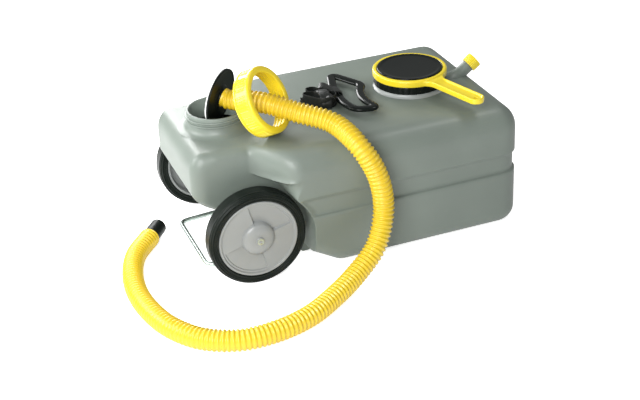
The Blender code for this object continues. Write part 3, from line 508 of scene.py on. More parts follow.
# %% Measures of the tank
NOSE_X, END_X = -0.3445, 0.164
HALF_WIDTH, WAIST_HALF_WIDTH = 0.159, 0.100
PLAN_FILLET, TOP_FILLET, FOOT_FILLET = 0.033, 0.037, 0.028
NOSE_FILLET, NOSE_TOP_FILLET = 0.022, 0.030
WAIST_SIDE_FILLET, WAIST_TOP_FILLET = 0.026, 0.013
BAND_LOW_Z, BAND_HIGH_Z, BAND_DEPTH = 0.0945, 0.1265, 0.0035
BAND_SLOPE, BAND_FADE = 0.0025, 0.007
ARCH_RADIUS = WHEEL_RADIUS + 0.0065
ARCH_TOP_LOW, ARCH_TOP_HIGH = 0.147, 0.160
SHOULDER_X, SHOULDER_BLEND = -0.003, 0.016
SHORT_STEP, STEP_GROWTH = 0.004, 0.068
GROWTH_LOW_Z, GROWTH_HIGH_Z = 0.125, 0.165
SOFT_LOW_Z, SOFT_HIGH_Z = 0.124, 0.162
RAMP_END_X, RAMP_BEND = -0.131, 0.007
RAMP_SLOPE = (WHEEL_RADIUS + 0.002) / (RAMP_END_X - RAMP_BEND - AXLE_X)
LIFT_TOP_Z, LIFT_BELOW_BAND, LIFT_FADE = 0.163, 0.004, 0.085
EDGE_LOST, EDGE_LOST_RISE = 0.45, 0.12
STEP_LOW, STEP_HIGH = AXLE_X + 0.035, AXLE_X + 0.090
FRONT_NECK_X, LID_X = AXLE_X - 0.0068, 0.0477
NECK_HOLE_RADIUS, HOLE_SNAP = 0.0455, 0.0036
WALL, GRID_STEP = 0.003, 0.0054


# %% From a box to the moulding
def box_skin(xs, ys, zs):
    """The six sides of a box, each a grid of points."""
    shells = []
    lines = (xs, ys, zs)
    for axis in range(3):
        a, b = [other for other in range(3) if other != axis]
        first, second = np.meshgrid(lines[a], lines[b], indexing='ij')
        for level in (lines[axis][0], lines[axis][-1]):
            points = np.empty((*first.shape, 3))
            points[..., a], points[..., b], points[..., axis] = first, second, level
            shells.append(points)
    return shells


def ramp_height(x):
    """0 on the foot, a parabola of length 2 bend, then a straight ramp."""
    start = RAMP_END_X - RAMP_BEND
    bend = RAMP_SLOPE * (start + RAMP_BEND - x) ** 2 / (4 * RAMP_BEND)
    return np.where(x > start + RAMP_BEND, 0.0, np.where(x < start - RAMP_BEND,
                                                         RAMP_SLOPE * (start - x), bend))


def side_step(z):
    """Start and length of the step from waist to wide part. It starts on the wheel's arch
    R (1 - (h/R)²)^0.7 below and at the shoulder above, whichever lies further back, joined as
    (a + b + sqrt((a - b)² + blend²)) / 2. It is 4 mm long at the arch and 72 mm above."""
    rise = np.clip((z - WHEEL_RADIUS) / ARCH_RADIUS, 0, 1)
    arch = ARCH_RADIUS * (1 - rise ** 2) ** 0.7
    start = 0.5 * (arch + SHOULDER_X + np.hypot(arch - SHOULDER_X, SHOULDER_BLEND))
    return AXLE_X + start, SHORT_STEP + STEP_GROWTH * smoothstep(GROWTH_LOW_Z, GROWTH_HIGH_Z, z)


def between(x, old, new):
    """Piecewise line through (old, new) knots, where each point has its own new knots."""
    part = np.clip(np.searchsorted(old, x) - 1, 0, len(old) - 2)
    old = np.array(old)
    low, high = (np.take_along_axis(new, (part + step)[None], 0)[0] for step in (0, 1))
    share = (x - old[part]) / (old[part + 1] - old[part])
    return low + share * (high - low)


def fillets(x):
    """Radii of the side and top edges: tight along the waist, wide at the nose and behind."""
    grown = smoothstep(STEP_LOW - 0.012, STEP_HIGH, x)
    side = WAIST_SIDE_FILLET + (PLAN_FILLET - WAIST_SIDE_FILLET) * grown
    top = NOSE_TOP_FILLET + (WAIST_TOP_FILLET - NOSE_TOP_FILLET) * smoothstep(NOSE_X, NOSE_X + 0.05, x)
    return side, top + (TOP_FILLET - top) * grown


def rounded_box(q):
    """core + facing × radii, where core is q held inside the box less its fillets.

    Grid lines first move with the radii, so that each fillet keeps its share of them.
    """
    x, y, z = np.moveaxis(q, -1, 0)
    side, top = fillets(x)
    edge_y, edge_z = HALF_WIDTH - PLAN_FILLET, TOP_Z - TOP_FILLET
    inner_y, inner_z = HALF_WIDTH - side, TOP_Z - top
    y = np.sign(y) * np.where(np.abs(y) > edge_y, inner_y + (np.abs(y) - edge_y) * side / PLAN_FILLET,
                              np.abs(y) * inner_y / edge_y)
    above = BAND_HIGH_Z + (z - BAND_HIGH_Z) * (inner_z - BAND_HIGH_Z) / (edge_z - BAND_HIGH_Z)
    z = np.where(z > edge_z, inner_z + (z - edge_z) * top / TOP_FILLET,
                 np.where(z > BAND_HIGH_Z, above, z))
    core = np.stack([np.clip(x, NOSE_X + NOSE_FILLET, END_X - PLAN_FILLET),
                     np.clip(y, -inner_y, inner_y), np.clip(z, FOOT_FILLET, inner_z)], axis=-1)
    radii = np.stack([np.where(x < core[..., 0], NOSE_FILLET, PLAN_FILLET), side,
                      np.where(z > core[..., 2], top, FOOT_FILLET)], axis=-1)
    facing = (np.stack([x, y, z], axis=-1) - core) / radii
    facing /= np.linalg.norm(facing, axis=-1, keepdims=True)
    return core + facing * radii, facing


def ramped(x, z):
    """Columns move to the step's edges, and the underside lifts; each needs the other, so
    they are worked out in turn, four times. The lowest part keeps most of its round edge."""
    old = [NOSE_X + NOSE_FILLET, STEP_LOW, STEP_HIGH, END_X - PLAN_FILLET]
    moved, lifted = x, z
    for _ in range(4):
        start, length = side_step(lifted)
        new = np.stack([np.full(x.shape, old[0]), start, start + length, np.full(x.shape, old[3])])
        moved = np.where((x > old[0]) & (x < old[3]), between(x, old, new), x)
        ceiling = LIFT_TOP_Z + (BAND_LOW_Z - LIFT_BELOW_BAND - LIFT_TOP_Z) * smoothstep(
            AXLE_X, AXLE_X + LIFT_FADE, moved)
        rise = ramp_height(moved)
        kept = 1 - EDGE_LOST * np.minimum(rise / EDGE_LOST_RISE, 1)
        knee = rise + FOOT_FILLET * kept
        lifted = np.where(z < FOOT_FILLET, rise + z * kept,
                          np.where(z < ceiling, knee + (z - FOOT_FILLET) * (ceiling - knee)
                                   / (ceiling - FOOT_FILLET), z))
    return moved, lifted


def tank_skin(q):
    """The four steps, from a point of the box to a point of the moulding. From waist to wide
    part, a share s of the step gives 1 - (1-s)^2.2 at the arch and 1 - (1-s)³(1+3s) above."""
    points, facing = rounded_box(q)
    x, y, z = np.moveaxis(points, -1, 0)
    pressed = np.minimum(smoothstep(BAND_LOW_Z, BAND_LOW_Z + BAND_SLOPE, q[..., 2]),
                         1 - smoothstep(BAND_HIGH_Z - BAND_SLOPE, BAND_HIGH_Z, q[..., 2]))
    pressed *= smoothstep(STEP_HIGH, STEP_HIGH + BAND_FADE, q[..., 0]) * BAND_DEPTH
    x, y = x - facing[..., 0] * pressed, y - facing[..., 1] * pressed
    share = np.clip((x - STEP_LOW) / (STEP_HIGH - STEP_LOW), 0, 1)
    x, z = ramped(x, z)
    softness = smoothstep(SOFT_LOW_Z, SOFT_HIGH_Z, z)
    flowing = 1 - (1 - share) ** 3 * (1 + 3 * share)
    widened = (1 - softness) * (1 - (1 - share) ** 2.2) + softness * flowing
    y = y * (1 - (HALF_WIDTH - WAIST_HALF_WIDTH) / HALF_WIDTH * (1 - widened))
    return np.stack([x, y, z], axis=-1)


# %% The skin, with its two round holes
def snapped_to_hole(points, centre_x):
    """Points of the top near a neck's hole move onto its circle."""
    away = points[..., :2] - np.array([centre_x, 0.0])
    radius = np.linalg.norm(away, axis=-1)
    near = (np.abs(radius - NECK_HOLE_RADIUS) < HOLE_SNAP) & (points[..., 2] > TOP_Z - 1e-4)
    scale = np.where(near, NECK_HOLE_RADIUS / np.maximum(radius, 1e-6), 1.0)
    moved = points.copy()
    moved[..., :2] = np.array([centre_x, 0.0]) + away * scale[..., None]
    return moved


def tank_shells():
    """The six sides, with finer rows where the skin turns fast, less the two round holes."""
    xs = stops([NOSE_X, NOSE_X + NOSE_FILLET, STEP_LOW, STEP_LOW + 0.0275, STEP_HIGH,
                STEP_HIGH + BAND_FADE, RAMP_END_X - 2 * RAMP_BEND, RAMP_END_X, END_X - PLAN_FILLET,
                END_X], GRID_STEP)
    xs = np.unique(np.concatenate([xs, np.linspace(STEP_LOW, STEP_HIGH, 41)]).round(6))
    ys = stops([-HALF_WIDTH, -HALF_WIDTH + PLAN_FILLET, HALF_WIDTH - PLAN_FILLET, HALF_WIDTH],
               GRID_STEP)
    edges = [BAND_LOW_Z, BAND_LOW_Z + BAND_SLOPE, BAND_HIGH_Z - BAND_SLOPE, BAND_HIGH_Z]
    zs = stops([0, FOOT_FILLET, *edges, TOP_Z - TOP_FILLET, TOP_Z], GRID_STEP)
    arch_top = np.concatenate([np.linspace(BAND_HIGH_Z, ARCH_TOP_LOW, 6),
                               np.linspace(ARCH_TOP_LOW, ARCH_TOP_HIGH, 16)])
    zs = np.concatenate([zs, np.linspace(*edges[:2], 5), np.linspace(*edges[2:], 5), arch_top])
    zs = np.unique(zs.round(6))
    shells = []
    for side in box_skin(xs, ys, zs):
        points = tank_skin(side)
        for centre_x in (FRONT_NECK_X, LID_X):
            points = snapped_to_hole(points, centre_x)
        points, faces = sheet(points)
        inside = np.zeros(len(points), bool)
        for centre_x in (FRONT_NECK_X, LID_X):
            radius = np.hypot(points[:, 0] - centre_x, points[:, 1])
            inside |= (radius < NECK_HOLE_RADIUS + 1e-6) & (points[:, 2] > TOP_Z - 1e-4)
        shells.append((points, faces[~inside[faces].all(axis=1)]))
    return shells


tank_shell = make("tank_shell", tank_shells(), tank_grey, "tank", ["tank_body"],
                  smooth=60)
wall = tank_shell.modifiers.new("wall", 'SOLIDIFY')
wall.thickness = WALL
wall.offset = -1.0

# %% [markdown]
# ## Necks and spout
# Both round necks are turned profiles that stand over the skin's holes, and each carries a
# screw thread: a small ridge carried up a helix, which fades in and out at its ends. The
# front neck flows into the tank with a wide blend, and the lid's neck stands on a paler
# collar. The vent spout leans out of the tank behind the lid.

# %% Necks
NECK_RADIUS, NECK_BORE, NECK_SINK = 0.0445, 0.0404, 0.0035
FRONT_NECK_HEIGHT, LID_NECK_HEIGHT = 0.0274, 0.0254
THREAD_PITCH, THREAD_TURNS, THREAD_DROP = 0.0062, 2.2, 0.0035


def thread(top, place):
    """Helix (r cos a, r sin a, pitch a / 2π), with a ridge that fades at both ends."""
    turns = np.linspace(0, THREAD_TURNS, 160)
    angle = 2 * np.pi * turns
    radius = NECK_RADIUS - 0.0006
    helix = np.stack([radius * np.cos(angle), radius * np.sin(angle),
                      top - THREAD_PITCH * (THREAD_TURNS - turns)], axis=-1)
    fade = smoothstep(0, 0.25, turns) * smoothstep(0, 0.25, THREAD_TURNS - turns)
    ridge = softened([(-0.0006, -0.0021, 0), (0.0036, -0.0010, 0.0007), (0.0036, 0.0008, 0.0007),
                      (-0.0006, 0.0017, 0)])
    ridge = ridge[None] * np.stack([0.04 + 0.96 * fade, np.ones_like(fade)], axis=-1)[:, None]
    return carried(placed(helix, place), ridge)


def neck(name, centre_x, height, foot, finish):
    """A foot that flows out of the tank, the straight wall with a rounded rim, and the thread."""
    place = Matrix.Translation((centre_x, 0, TOP_Z))
    rim = [(NECK_RADIUS, height - 0.0012), (NECK_RADIUS - 0.0004, height - 0.0004),
           (NECK_RADIUS - 0.0012, height), (NECK_BORE + 0.0010, height),
           (NECK_BORE + 0.0003, height - 0.0004), (NECK_BORE, height - 0.0012)]
    profile = [(NECK_BORE, -NECK_SINK), (0.0500, -NECK_SINK), *foot, *rim]
    make(name, [turned(profile, place), thread(height - THREAD_DROP, place)], finish, "tank")


neck("front_neck", FRONT_NECK_X, FRONT_NECK_HEIGHT,
     [(0.0600, -0.0006), (0.0580, 0.0000), (0.0550, 0.0003), (0.0520, 0.0010), (0.0496, 0.0022),
      (0.0478, 0.0042), (0.0466, 0.0070), (0.0456, 0.0105), (NECK_RADIUS, 0.0150)], tank_grey)
neck("lid_neck", LID_X, LID_NECK_HEIGHT,
     [(0.0600, -0.0010), (0.0575, 0.0003), (0.0557, 0.0011), (0.0545, 0.0026), (0.0541, 0.0046),
      (0.0533, 0.0056), (0.0470, 0.0060), (NECK_RADIUS, 0.0070)], pale_grey)


# %% Vent spout, axle tunnel and bail lugs
VENT_PLACE = along((math.cos(math.radians(37)), 0, math.sin(math.radians(37))), (0.119, 0, TOP_Z - 0.012))
spout_profile = [(0, -0.004), (0.0185, -0.004), (0.0170, 0.0050), (0.0145, 0.0100), (0.0122, 0.0150),
                 (0.0108, 0.0200), (0.0101, 0.0260), (0.0100, 0.0390), (0.0092, 0.0392),
                 (0.0092, 0.0505), (0.0085, 0.0515), (0.0065, 0.0515), (0.0065, 0.0400), (0, 0.0400)]
make("vent_spout", [turned(spout_profile, VENT_PLACE, 48)], tank_grey, "tank")


def slab(outline, low, high, edge, place):
    """Outline from low to high with a bevelled edge: five loops between two middle points."""
    middle = outline.mean(axis=0)
    inset = outline - edge * (outline - middle) / np.linalg.norm(outline - middle, axis=1, keepdims=True)
    loops = [(middle + 0 * outline, low), (inset, low), (outline, low + edge), (outline, high - edge),
             (inset, high), (middle + 0 * outline, high)]
    points = np.stack([np.column_stack([loop, np.full(len(loop), level)]) for loop, level in loops])
    return sheet(placed(points, place), wrap_columns=True)


TUNNEL_HALF, TUNNEL_RADIUS = 0.0985, 0.0095
axle_line = np.linspace((AXLE_X, -TUNNEL_HALF, WHEEL_RADIUS), (AXLE_X, TUNNEL_HALF, WHEEL_RADIUS), 12)
PIVOT = (AXLE_X + 0.090, 0.0125)
LUG_MIDDLE, LUG_HALF = 0.0881, 0.0104
lug_outline = softened([(-0.0085, -0.0085, 0.006), (0.0085, -0.0085, 0.006), (0.0085, 0.030, 0.001),
                        (-0.0085, 0.038, 0.001)], closed=True, steps=9)
upright = Matrix.Rotation(math.pi / 2, 4, 'X')
lugs = [slab(lug_outline, -LUG_HALF, LUG_HALF, 0.0015,
             Matrix.Translation((PIVOT[0], side * LUG_MIDDLE, PIVOT[1])) @ upright)
        for side in (-1, 1)]
make("tank_fittings", [carried(axle_line, round_section(TUNNEL_RADIUS)), *lugs], tank_grey, "tank")

# %% [markdown]
# ## Wheels
# A wheel is a tyre of soft black plastic round a pale hub. The hub's face is a lathe profile
# with a relief: two opposite sectors sink in, and sink deeper towards the dome in the
# middle. Fine ribs run round the tyre's shoulders, where the photograph shows thin lines.
# Each push-on cap of the axle is a small button.

# %% Hub and tyre
HUB_RADIUS, HUB_BORE = 0.0612, 0.0051
WHEEL_HALF = 0.015
WHEEL_MIDDLE = 0.135
DOME_RADIUS, DOME_HEIGHT = 0.0255, 0.0085
FACE = WHEEL_HALF - 0.0035
PANEL_MIDDLE, PANEL_SPREAD = np.radians(59), np.radians(44)
PANEL_OUTER = 0.0540
TYRE_BORE = 0.0615


def panel_relief(angle, radius, height):
    """-depth(r) × window(a) × window(r): depth falls from 5.4 mm at the dome to 1.8 mm."""
    swing = np.abs((angle - PANEL_MIDDLE + np.pi / 2) % np.pi - np.pi / 2)
    in_angle = smoothstep(0, 0.0011, (PANEL_SPREAD - swing) * radius)
    in_radius = smoothstep(DOME_RADIUS - 0.0008, DOME_RADIUS, radius)
    in_radius = in_radius * smoothstep(PANEL_OUTER, PANEL_OUTER - 0.0010, radius)
    depth = 0.0018 + 0.0036 * (1 - np.clip((radius - DOME_RADIUS) / 0.028, 0, 1)) ** 1.3
    return -depth * in_angle * in_radius * (height > FACE - 0.001)


def hub_profile():
    """Dome h = face + H (1 - (r/R)^3.2)^0.6, then the flat face, the rim and the hollow back."""
    dome = np.linspace(HUB_BORE, DOME_RADIUS - 1e-5, 22)
    dome_height = FACE + DOME_HEIGHT * (1 - (dome / DOME_RADIUS) ** 3.2) ** 0.6
    face = np.concatenate([[0.0256, 0.0260, 0.0266], np.linspace(0.0280, 0.0520, 12),
                           [0.0528, 0.0532, 0.0536, 0.0540, 0.0544]])
    rim = softened([(0.0552, FACE, 0), (0.0562, FACE, 0.0006), (0.0574, WHEEL_HALF - 0.0010, 0.0008),
                    (HUB_RADIUS - 0.0010, WHEEL_HALF - 0.0006, 0.0008),
                    (HUB_RADIUS, WHEEL_HALF - 0.0022, 0.0008), (HUB_RADIUS, -0.0130, 0.0005),
                    (HUB_RADIUS - 0.0035, -0.0130, 0.0005), (HUB_RADIUS - 0.0045, 0.0045, 0.0005),
                    (0.0145, 0.0045, 0.0005), (0.0135, -0.0150, 0.0005), (HUB_BORE, -0.0150, 0)])
    return np.concatenate([np.column_stack([dome, dome_height]),
                           np.column_stack([face, np.full(face.shape, FACE)]), rim])


def hub_angles():
    """Even angles, with more of them across the panels' edges."""
    edge = np.concatenate([PANEL_MIDDLE + turn + side * PANEL_SPREAD + np.linspace(-0.07, 0.07, 15)
                           for turn in (0, np.pi) for side in (-1, 1)])
    return np.unique(np.concatenate([np.arange(96) * 2 * np.pi / 96, edge % (2 * np.pi)]).round(4))


def tyre_profile():
    """Half of the section, mirrored: shoulder arc (r, h) = c + R(cos t, sin t), R ribbed."""
    t = np.linspace(0, np.pi / 2, 41)
    radius = 0.0060 + 0.00045 * np.cos(10 * t)
    shoulder = np.column_stack([0.0687 + radius * np.cos(t), 0.0084 + radius * np.sin(t)])
    wall = softened([(0.0685, 0.0147, 0), (0.0668, 0.0148, 0.0004), (0.0664, 0.0140, 0.0004),
                     (0.0648, 0.0140, 0.0004), (0.0642, 0.0150, 0.0004), (0.0622, 0.0149, 0.0006),
                     (TYRE_BORE, 0.0135, 0.0005), (TYRE_BORE, 0.0, 0)])
    tread = [(WHEEL_RADIUS, 0.0), (WHEEL_RADIUS, 0.0045), (WHEEL_RADIUS - 0.0001, 0.0075)]
    half = np.concatenate([tread, shoulder[1:], wall])
    return np.concatenate([half, (half * [1, -1])[-2:0:-1]])


for name, side in (("near", -1), ("far", 1)):
    wheel_place = along((0, side, 0), (AXLE_X, side * WHEEL_MIDDLE, WHEEL_RADIUS))
    body = f"wheel_{name}"
    make(f"hub_{name}", [turned(hub_profile(), wheel_place, hub_angles(), lift=panel_relief)],
         hub_plastic, body, [f"wheel_hub_{name}"], smooth=50)
    make(f"ribbed_tyre_{name}", [turned(tyre_profile(), wheel_place, 120)], tyre_rubber, body,
         [f"tyre_{name}"], smooth=60)
    button = softened([(0, 0.0235, 0), (0.0038, 0.0235, 0.0028), (0.0062, 0.0212, 0.0006),
                       (0.0064, 0.0203, 0), (0.0053, 0.0203, 0), (0.0053, 0.0222, 0), (0, 0.0222, 0)])
    make(f"axle_button_{name}", [turned(button, wheel_place, 40)], hub_plastic,
         "tank", [f"axle_cap_{name}"])

# %% [markdown]
# ## The bail
# The steel rod under the wheel end lies on the floor like an open staple. Its path is a few
# straight runs whose corners are softened, and a circle is carried along it.

# %% Bail
BAIL_RADIUS = 0.0035
bail_half, bail_out = 0.0745, 0.0915
bar_x, bar_z = AXLE_X - 0.062, 0.0045
bail_corners = [(PIVOT[0], -bail_out, PIVOT[1], 0), (PIVOT[0], -bail_half, PIVOT[1], 0.004),
                (bar_x, -bail_half, bar_z, 0.014), (bar_x, bail_half, bar_z, 0.014),
                (PIVOT[0], bail_half, PIVOT[1], 0.004), (PIVOT[0], bail_out, PIVOT[1], 0)]
bail_line = softened(bail_corners, steps=12)
make("bail_rod", [carried(bail_line, round_section(BAIL_RADIUS, 20))], zinc_steel,
     "bail", ["bail"])

# %% [markdown]
# ## Lid, spanner and vent cap
# The lid is one glossy black turning. Its disc rises a little into a rounded lip, and the
# skirt under the spanner has shallow upright flutes. The yellow spanner is parked on the
# lid's step: its ring is turned, and its handle is a row of ribs across the handle's middle
# line, each as wide as the outline there. The height falls with the distance from the edge,
# which leaves a raised rim round a shallow channel.

# %% Lid and ring of the spanner
LID_TOP, LID_STEP = 0.2310, 0.2190
LID_RADIUS, SKIRT_RADIUS = 0.0515, 0.0572
lid_profile = softened([(0, LID_TOP - 0.0010, 0), (0.0445, LID_TOP - 0.0010, 0.002),
                        (0.0475, LID_TOP, 0.0016), (LID_RADIUS, LID_TOP, 0.0018),
                        (LID_RADIUS, LID_STEP, 0.0004), (SKIRT_RADIUS, LID_STEP, 0.0014),
                        (SKIRT_RADIUS, 0.2067, 0.0008), (0.0482, 0.2067, 0.0005),
                        (0.0482, 0.2280, 0.0005), (0, 0.2280, 0)])


def skirt_flutes(angle, radius, height):
    """-d (1 - |cos 15a|^0.3) on the skirt alone: thirty panels with narrow gaps."""
    is_skirt = (height < LID_STEP - 0.0010) & (radius > SKIRT_RADIUS - 0.0022)
    return -0.0007 * (1 - np.abs(np.cos(15 * angle)) ** 0.3) * is_skirt


lid_origin = Matrix.Translation((LID_X, 0, 0))
make("lid", [turned(lid_profile, lid_origin, 240, swell=skirt_flutes)], black_gloss,
     "lid", ["lid_cap"])

SPANNER_PLACE = (Matrix.Translation((LID_X, 0, LID_STEP + 0.0003))
                 @ Matrix.Rotation(math.radians(-73.3), 4, 'Z'))
SPANNER_BORE, SPANNER_RADIUS = 0.0518, 0.0585
ring_profile = softened([(SPANNER_BORE, 0.0, 0.0004), (SPANNER_RADIUS, 0.0, 0.0008),
                         (SPANNER_RADIUS, 0.0095, 0.0020), (0.0562, 0.0105, 0.0012),
                         (0.0528, 0.0105, 0.0012), (SPANNER_BORE, 0.0095, 0.0005)], closed=True)


# %% Handle of the spanner
HANDLE_REACH, HANDLE_HALF, HANDLE_BLEND = 0.149, 0.0125, 0.020
HANDLE_THICKNESS, CHANNEL_DEPTH, HANDLE_EDGE = 0.0090, 0.0028, 0.0018
HOLE_RADIUS = 0.0031


def handle_width(x, middle_x):
    """Concave blend h + b - sqrt(b² - (m-x)²), straight, then a round end sqrt(h² - (x-e)²)."""
    blend = HANDLE_HALF + HANDLE_BLEND - np.sqrt(np.maximum(HANDLE_BLEND ** 2 - (middle_x - x) ** 2, 0))
    end = np.sqrt(np.maximum(HANDLE_HALF ** 2 - (x - HANDLE_REACH) ** 2, 0))
    return np.where(x < middle_x, blend, np.where(x > HANDLE_REACH, end, HANDLE_HALF))


def spanner_handle():
    """Each rib runs from rim to rim; its top is thickness - channel(d) - rounding(d), where d
    is the distance from the edge. Near the tip it drops to a round hang hole."""
    reach, aside = SPANNER_RADIUS + HANDLE_BLEND, HANDLE_HALF + HANDLE_BLEND
    middle_x = math.sqrt(reach ** 2 - aside ** 2)
    start = middle_x - HANDLE_BLEND * math.cos(math.asin(aside / reach))
    end = HANDLE_REACH + HANDLE_HALF * np.sin(np.linspace(0, np.pi / 2, 24))
    x = np.concatenate([np.linspace(start, middle_x, 16)[:-1],
                        np.linspace(middle_x, HANDLE_REACH - 0.0060, 28)[:-1],
                        np.linspace(HANDLE_REACH - 0.0060, HANDLE_REACH, 15)[:-1], end])
    width = handle_width(x, middle_x)
    t = np.linspace(-1, 1, 65)
    across = np.sign(t) * (1 - (1 - np.abs(t)) ** 1.3)
    y = width[:, None] * across
    x = np.broadcast_to(x[:, None], y.shape)
    edge = np.where(x > HANDLE_REACH, HANDLE_HALF - np.hypot(x - HANDLE_REACH, y),
                    width[:, None] - np.abs(y))
    edge = np.maximum(edge, 0)
    inward = np.maximum(HANDLE_EDGE - edge, 0)
    rounding = HANDLE_EDGE - np.sqrt(np.maximum(HANDLE_EDGE ** 2 - inward ** 2, 0))
    channel = smoothstep(0.0022, 0.0048, edge) * smoothstep(0.064, 0.078, x)
    top = HANDLE_THICKNESS - CHANNEL_DEPTH * channel - rounding
    bottom = 0.0004 + 0.6 * rounding
    hole = smoothstep(HOLE_RADIUS, HOLE_RADIUS - 0.0006, np.hypot(x - HANDLE_REACH, y))
    top = top + (bottom + 0.0003 - top) * hole
    points = np.concatenate([np.stack([x, y, top], -1), np.stack([x, y, bottom], -1)[:, ::-1]], axis=1)
    closed_start = np.broadcast_to([x[0, 0], 0, HANDLE_THICKNESS / 2], points[:1].shape)
    return sheet(placed(np.concatenate([closed_start, points]), SPANNER_PLACE), wrap_columns=True)


make("lid_spanner", [turned(ring_profile, SPANNER_PLACE, 160), spanner_handle()],
     yellow_plastic, "spanner", ["cap_spanner"])

# %% Vent cap
CAP_RADIUS, CAP_LOW, CAP_TOP = 0.0128, 0.0400, 0.0551
vent_profile = softened([(0, CAP_TOP, 0), (0.0118, CAP_TOP, 0.0012), (CAP_RADIUS, 0.0541, 0.0008),
                         (CAP_RADIUS, CAP_LOW, 0.0005), (0.0098, CAP_LOW, 0.0003),
                         (0.0098, 0.0531, 0.0003), (0, 0.0531, 0)])


def cap_knurl(angle, radius, height):
    """-d |sin 14a| between the cap's two plain edges."""
    is_side = (height < CAP_TOP - 0.0011) & (height > CAP_LOW + 0.0002) & (radius > CAP_RADIUS - 0.0003)
    return -0.0006 * np.abs(np.sin(14 * angle)) * is_side


make("vent_knob", [turned(vent_profile, VENT_PLACE, 224, swell=cap_knurl)], yellow_plastic,
     "vent", ["vent_cap"])

# %% [markdown]
# ## The hose's end fittings
# A black flange with a white gasket closes the hose's upper end. The union ring hangs loose
# on the hose: upright ribs in groups outside, the windings of its thread inside, and in
# front the inward lip that would press the flange onto the neck. The other end is a plain black cuff.

# %% Flange, gasket and cuff
FLANGE_PLACE = along(FLANGE_NORMAL, FLANGE_CENTRE)
flange_profile = softened([(0, -0.0015, 0), (0.0433, -0.0015, 0.0005), (0.0433, 0.0015, 0.0008),
                           (0.0395, 0.0015, 0.0004), (0.0388, 0.0010, 0.0004), (0.0190, 0.0010, 0.0010),
                           (0.0175, 0.0022, 0.0010), (0.0118, 0.0024, 0.0010), (0.0118, 0.0055, 0),
                           (0, 0.0055, 0)])
flange = make("flange", [turned(flange_profile, FLANGE_PLACE)], black_satin, "tank",
              ["hose_flange"])
gasket_profile = softened([(0.0330, -0.0018, 0.0002), (0.0330, -0.0036, 0.0004),
                           (0.0430, -0.0036, 0.0006), (0.0430, -0.0018, 0.0002)], closed=True)
gasket = make("gasket", [turned(gasket_profile, FLANGE_PLACE)], white_gasket, "tank",
              ["flange_gasket"])

STATIONS_BACK = 64
hose_end = Vector(hose_line[-1])
cuff_direction = Vector(hose_line[-1] - hose_line[-STATIONS_BACK])
cuff_direction.z = 0
cuff_profile = softened([(0, 0.0003, 0), (0.0130, 0.0003, 0.0004), (0.0130, 0.0360, 0.0012),
                         (0.0102, 0.0360, 0.0006), (0.0102, 0.0110, 0.0004), (0, 0.0110, 0)])
cuff = make("cuff", [turned(cuff_profile, along(cuff_direction.normalized(), hose_end), 64)],
            black_satin, "tank", ["hose_cuff"])

# %% Union ring
RING_CENTRE = Vector((-0.2191, -0.0653, TOP_Z + 0.0522))
RING_AXIS = Vector((0.631, -0.641, 0.437)).normalized()
RING_RADIUS, RING_HALF, RING_LIP, RING_BORE = 0.0515, 0.01425, 0.0412, 0.0475
RING_RIB, RING_THREAD = 0.0011, 0.0013


def ring_ribs(angle, radius, height):
    """Outside: ten groups of five ribs. Inside: -d at the crests of cos(2π h/p - a), the thread."""
    group = (angle * 10 / (2 * np.pi)) % 1
    is_group = smoothstep(0.10, 0.14, group) * smoothstep(0.86, 0.82, group)
    rib = smoothstep(0.1, 0.5, np.cos(angle * 70)) * is_group
    outside = smoothstep(-0.0100, -0.0090, height) * smoothstep(0.0080, 0.0070, height)
    outside = outside * (radius > RING_RADIUS - 0.0015)
    winding = 0.5 + 0.5 * np.cos(2 * np.pi * height / THREAD_PITCH - angle)
    inside = (np.abs(radius - RING_BORE) < 0.0002) * smoothstep(0.0105, 0.0095, height)
    return RING_RIB * rib * outside - RING_THREAD * smoothstep(0.35, 0.8, winding) * inside


def union_profile():
    """Smooth rims, fine rows where ribs and thread need them, and the inward lip in front."""
    inner = np.column_stack([np.full(44, RING_BORE), np.linspace(0.0108, -0.0125, 44)])
    back = softened([(RING_BORE, -0.0127, 0), (RING_BORE, -RING_HALF, 0.0012),
                     (RING_RADIUS, -RING_HALF, 0.0018), (RING_RADIUS, -0.0106, 0)])
    outer = np.column_stack([np.full(20, RING_RADIUS - RING_RIB), np.linspace(-0.0102, 0.0082, 20)])
    front = softened([(RING_RADIUS, 0.0086, 0), (RING_RADIUS, RING_HALF - 0.0008, 0.0034),
                      (0.0455, RING_HALF, 0.0020), (RING_LIP, RING_HALF - 0.0006, 0.0016),
                      (RING_LIP, 0.0112, 0.0006), (0.0470, 0.0112, 0)], steps=7)
    return np.concatenate([inner, back, outer, front])


union = make("union", [turned(union_profile(), along(RING_AXIS, RING_CENTRE), 420, swell=ring_ribs)],
             yellow_plastic, "ring", ["union_ring"], smooth=50)

# %% [markdown]
# ## The grip
# The pull grip is a closed loop of glossy rod, bent to a slanting shape whose inner side
# follows the fingers. It lies a little above the top, on the strap that holds it. Its section
# is an oval pressed slightly square: |a/w|^n + |b/h|^n = 1.

# %% Grip
GRIP_HALF_WIDTH, GRIP_HALF_HEIGHT = 0.0070, 0.0036
GRIP_GAP = 0.0022
GRIP_PLACE = (Matrix.Translation((-0.0780, -0.0066, TOP_Z + GRIP_GAP + GRIP_HALF_WIDTH))
              @ Matrix.Rotation(math.radians(85.6), 4, 'Z'))
grip_corners = [(-0.0605, -0.0100, 0, 0.013), (-0.0310, 0.0, 0, 0.015), (0.0240, 0.0, 0, 0.012),
                (0.0800, -0.0130, 0, 0.018), (0.0245, -0.0470, 0, 0.010), (-0.0010, -0.0360, 0, 0.012),
                (-0.0290, -0.0320, 0, 0.014), (-0.0650, -0.0420, 0, 0.012)]
SQUARENESS = 2.6
oval = round_section(1.0, 32)
oval = oval / (np.abs(oval) ** SQUARENESS).sum(axis=1, keepdims=True) ** (1 / SQUARENESS)
oval = oval * [GRIP_HALF_WIDTH, GRIP_HALF_HEIGHT]
grip_line = softened(grip_corners, closed=True, steps=12)
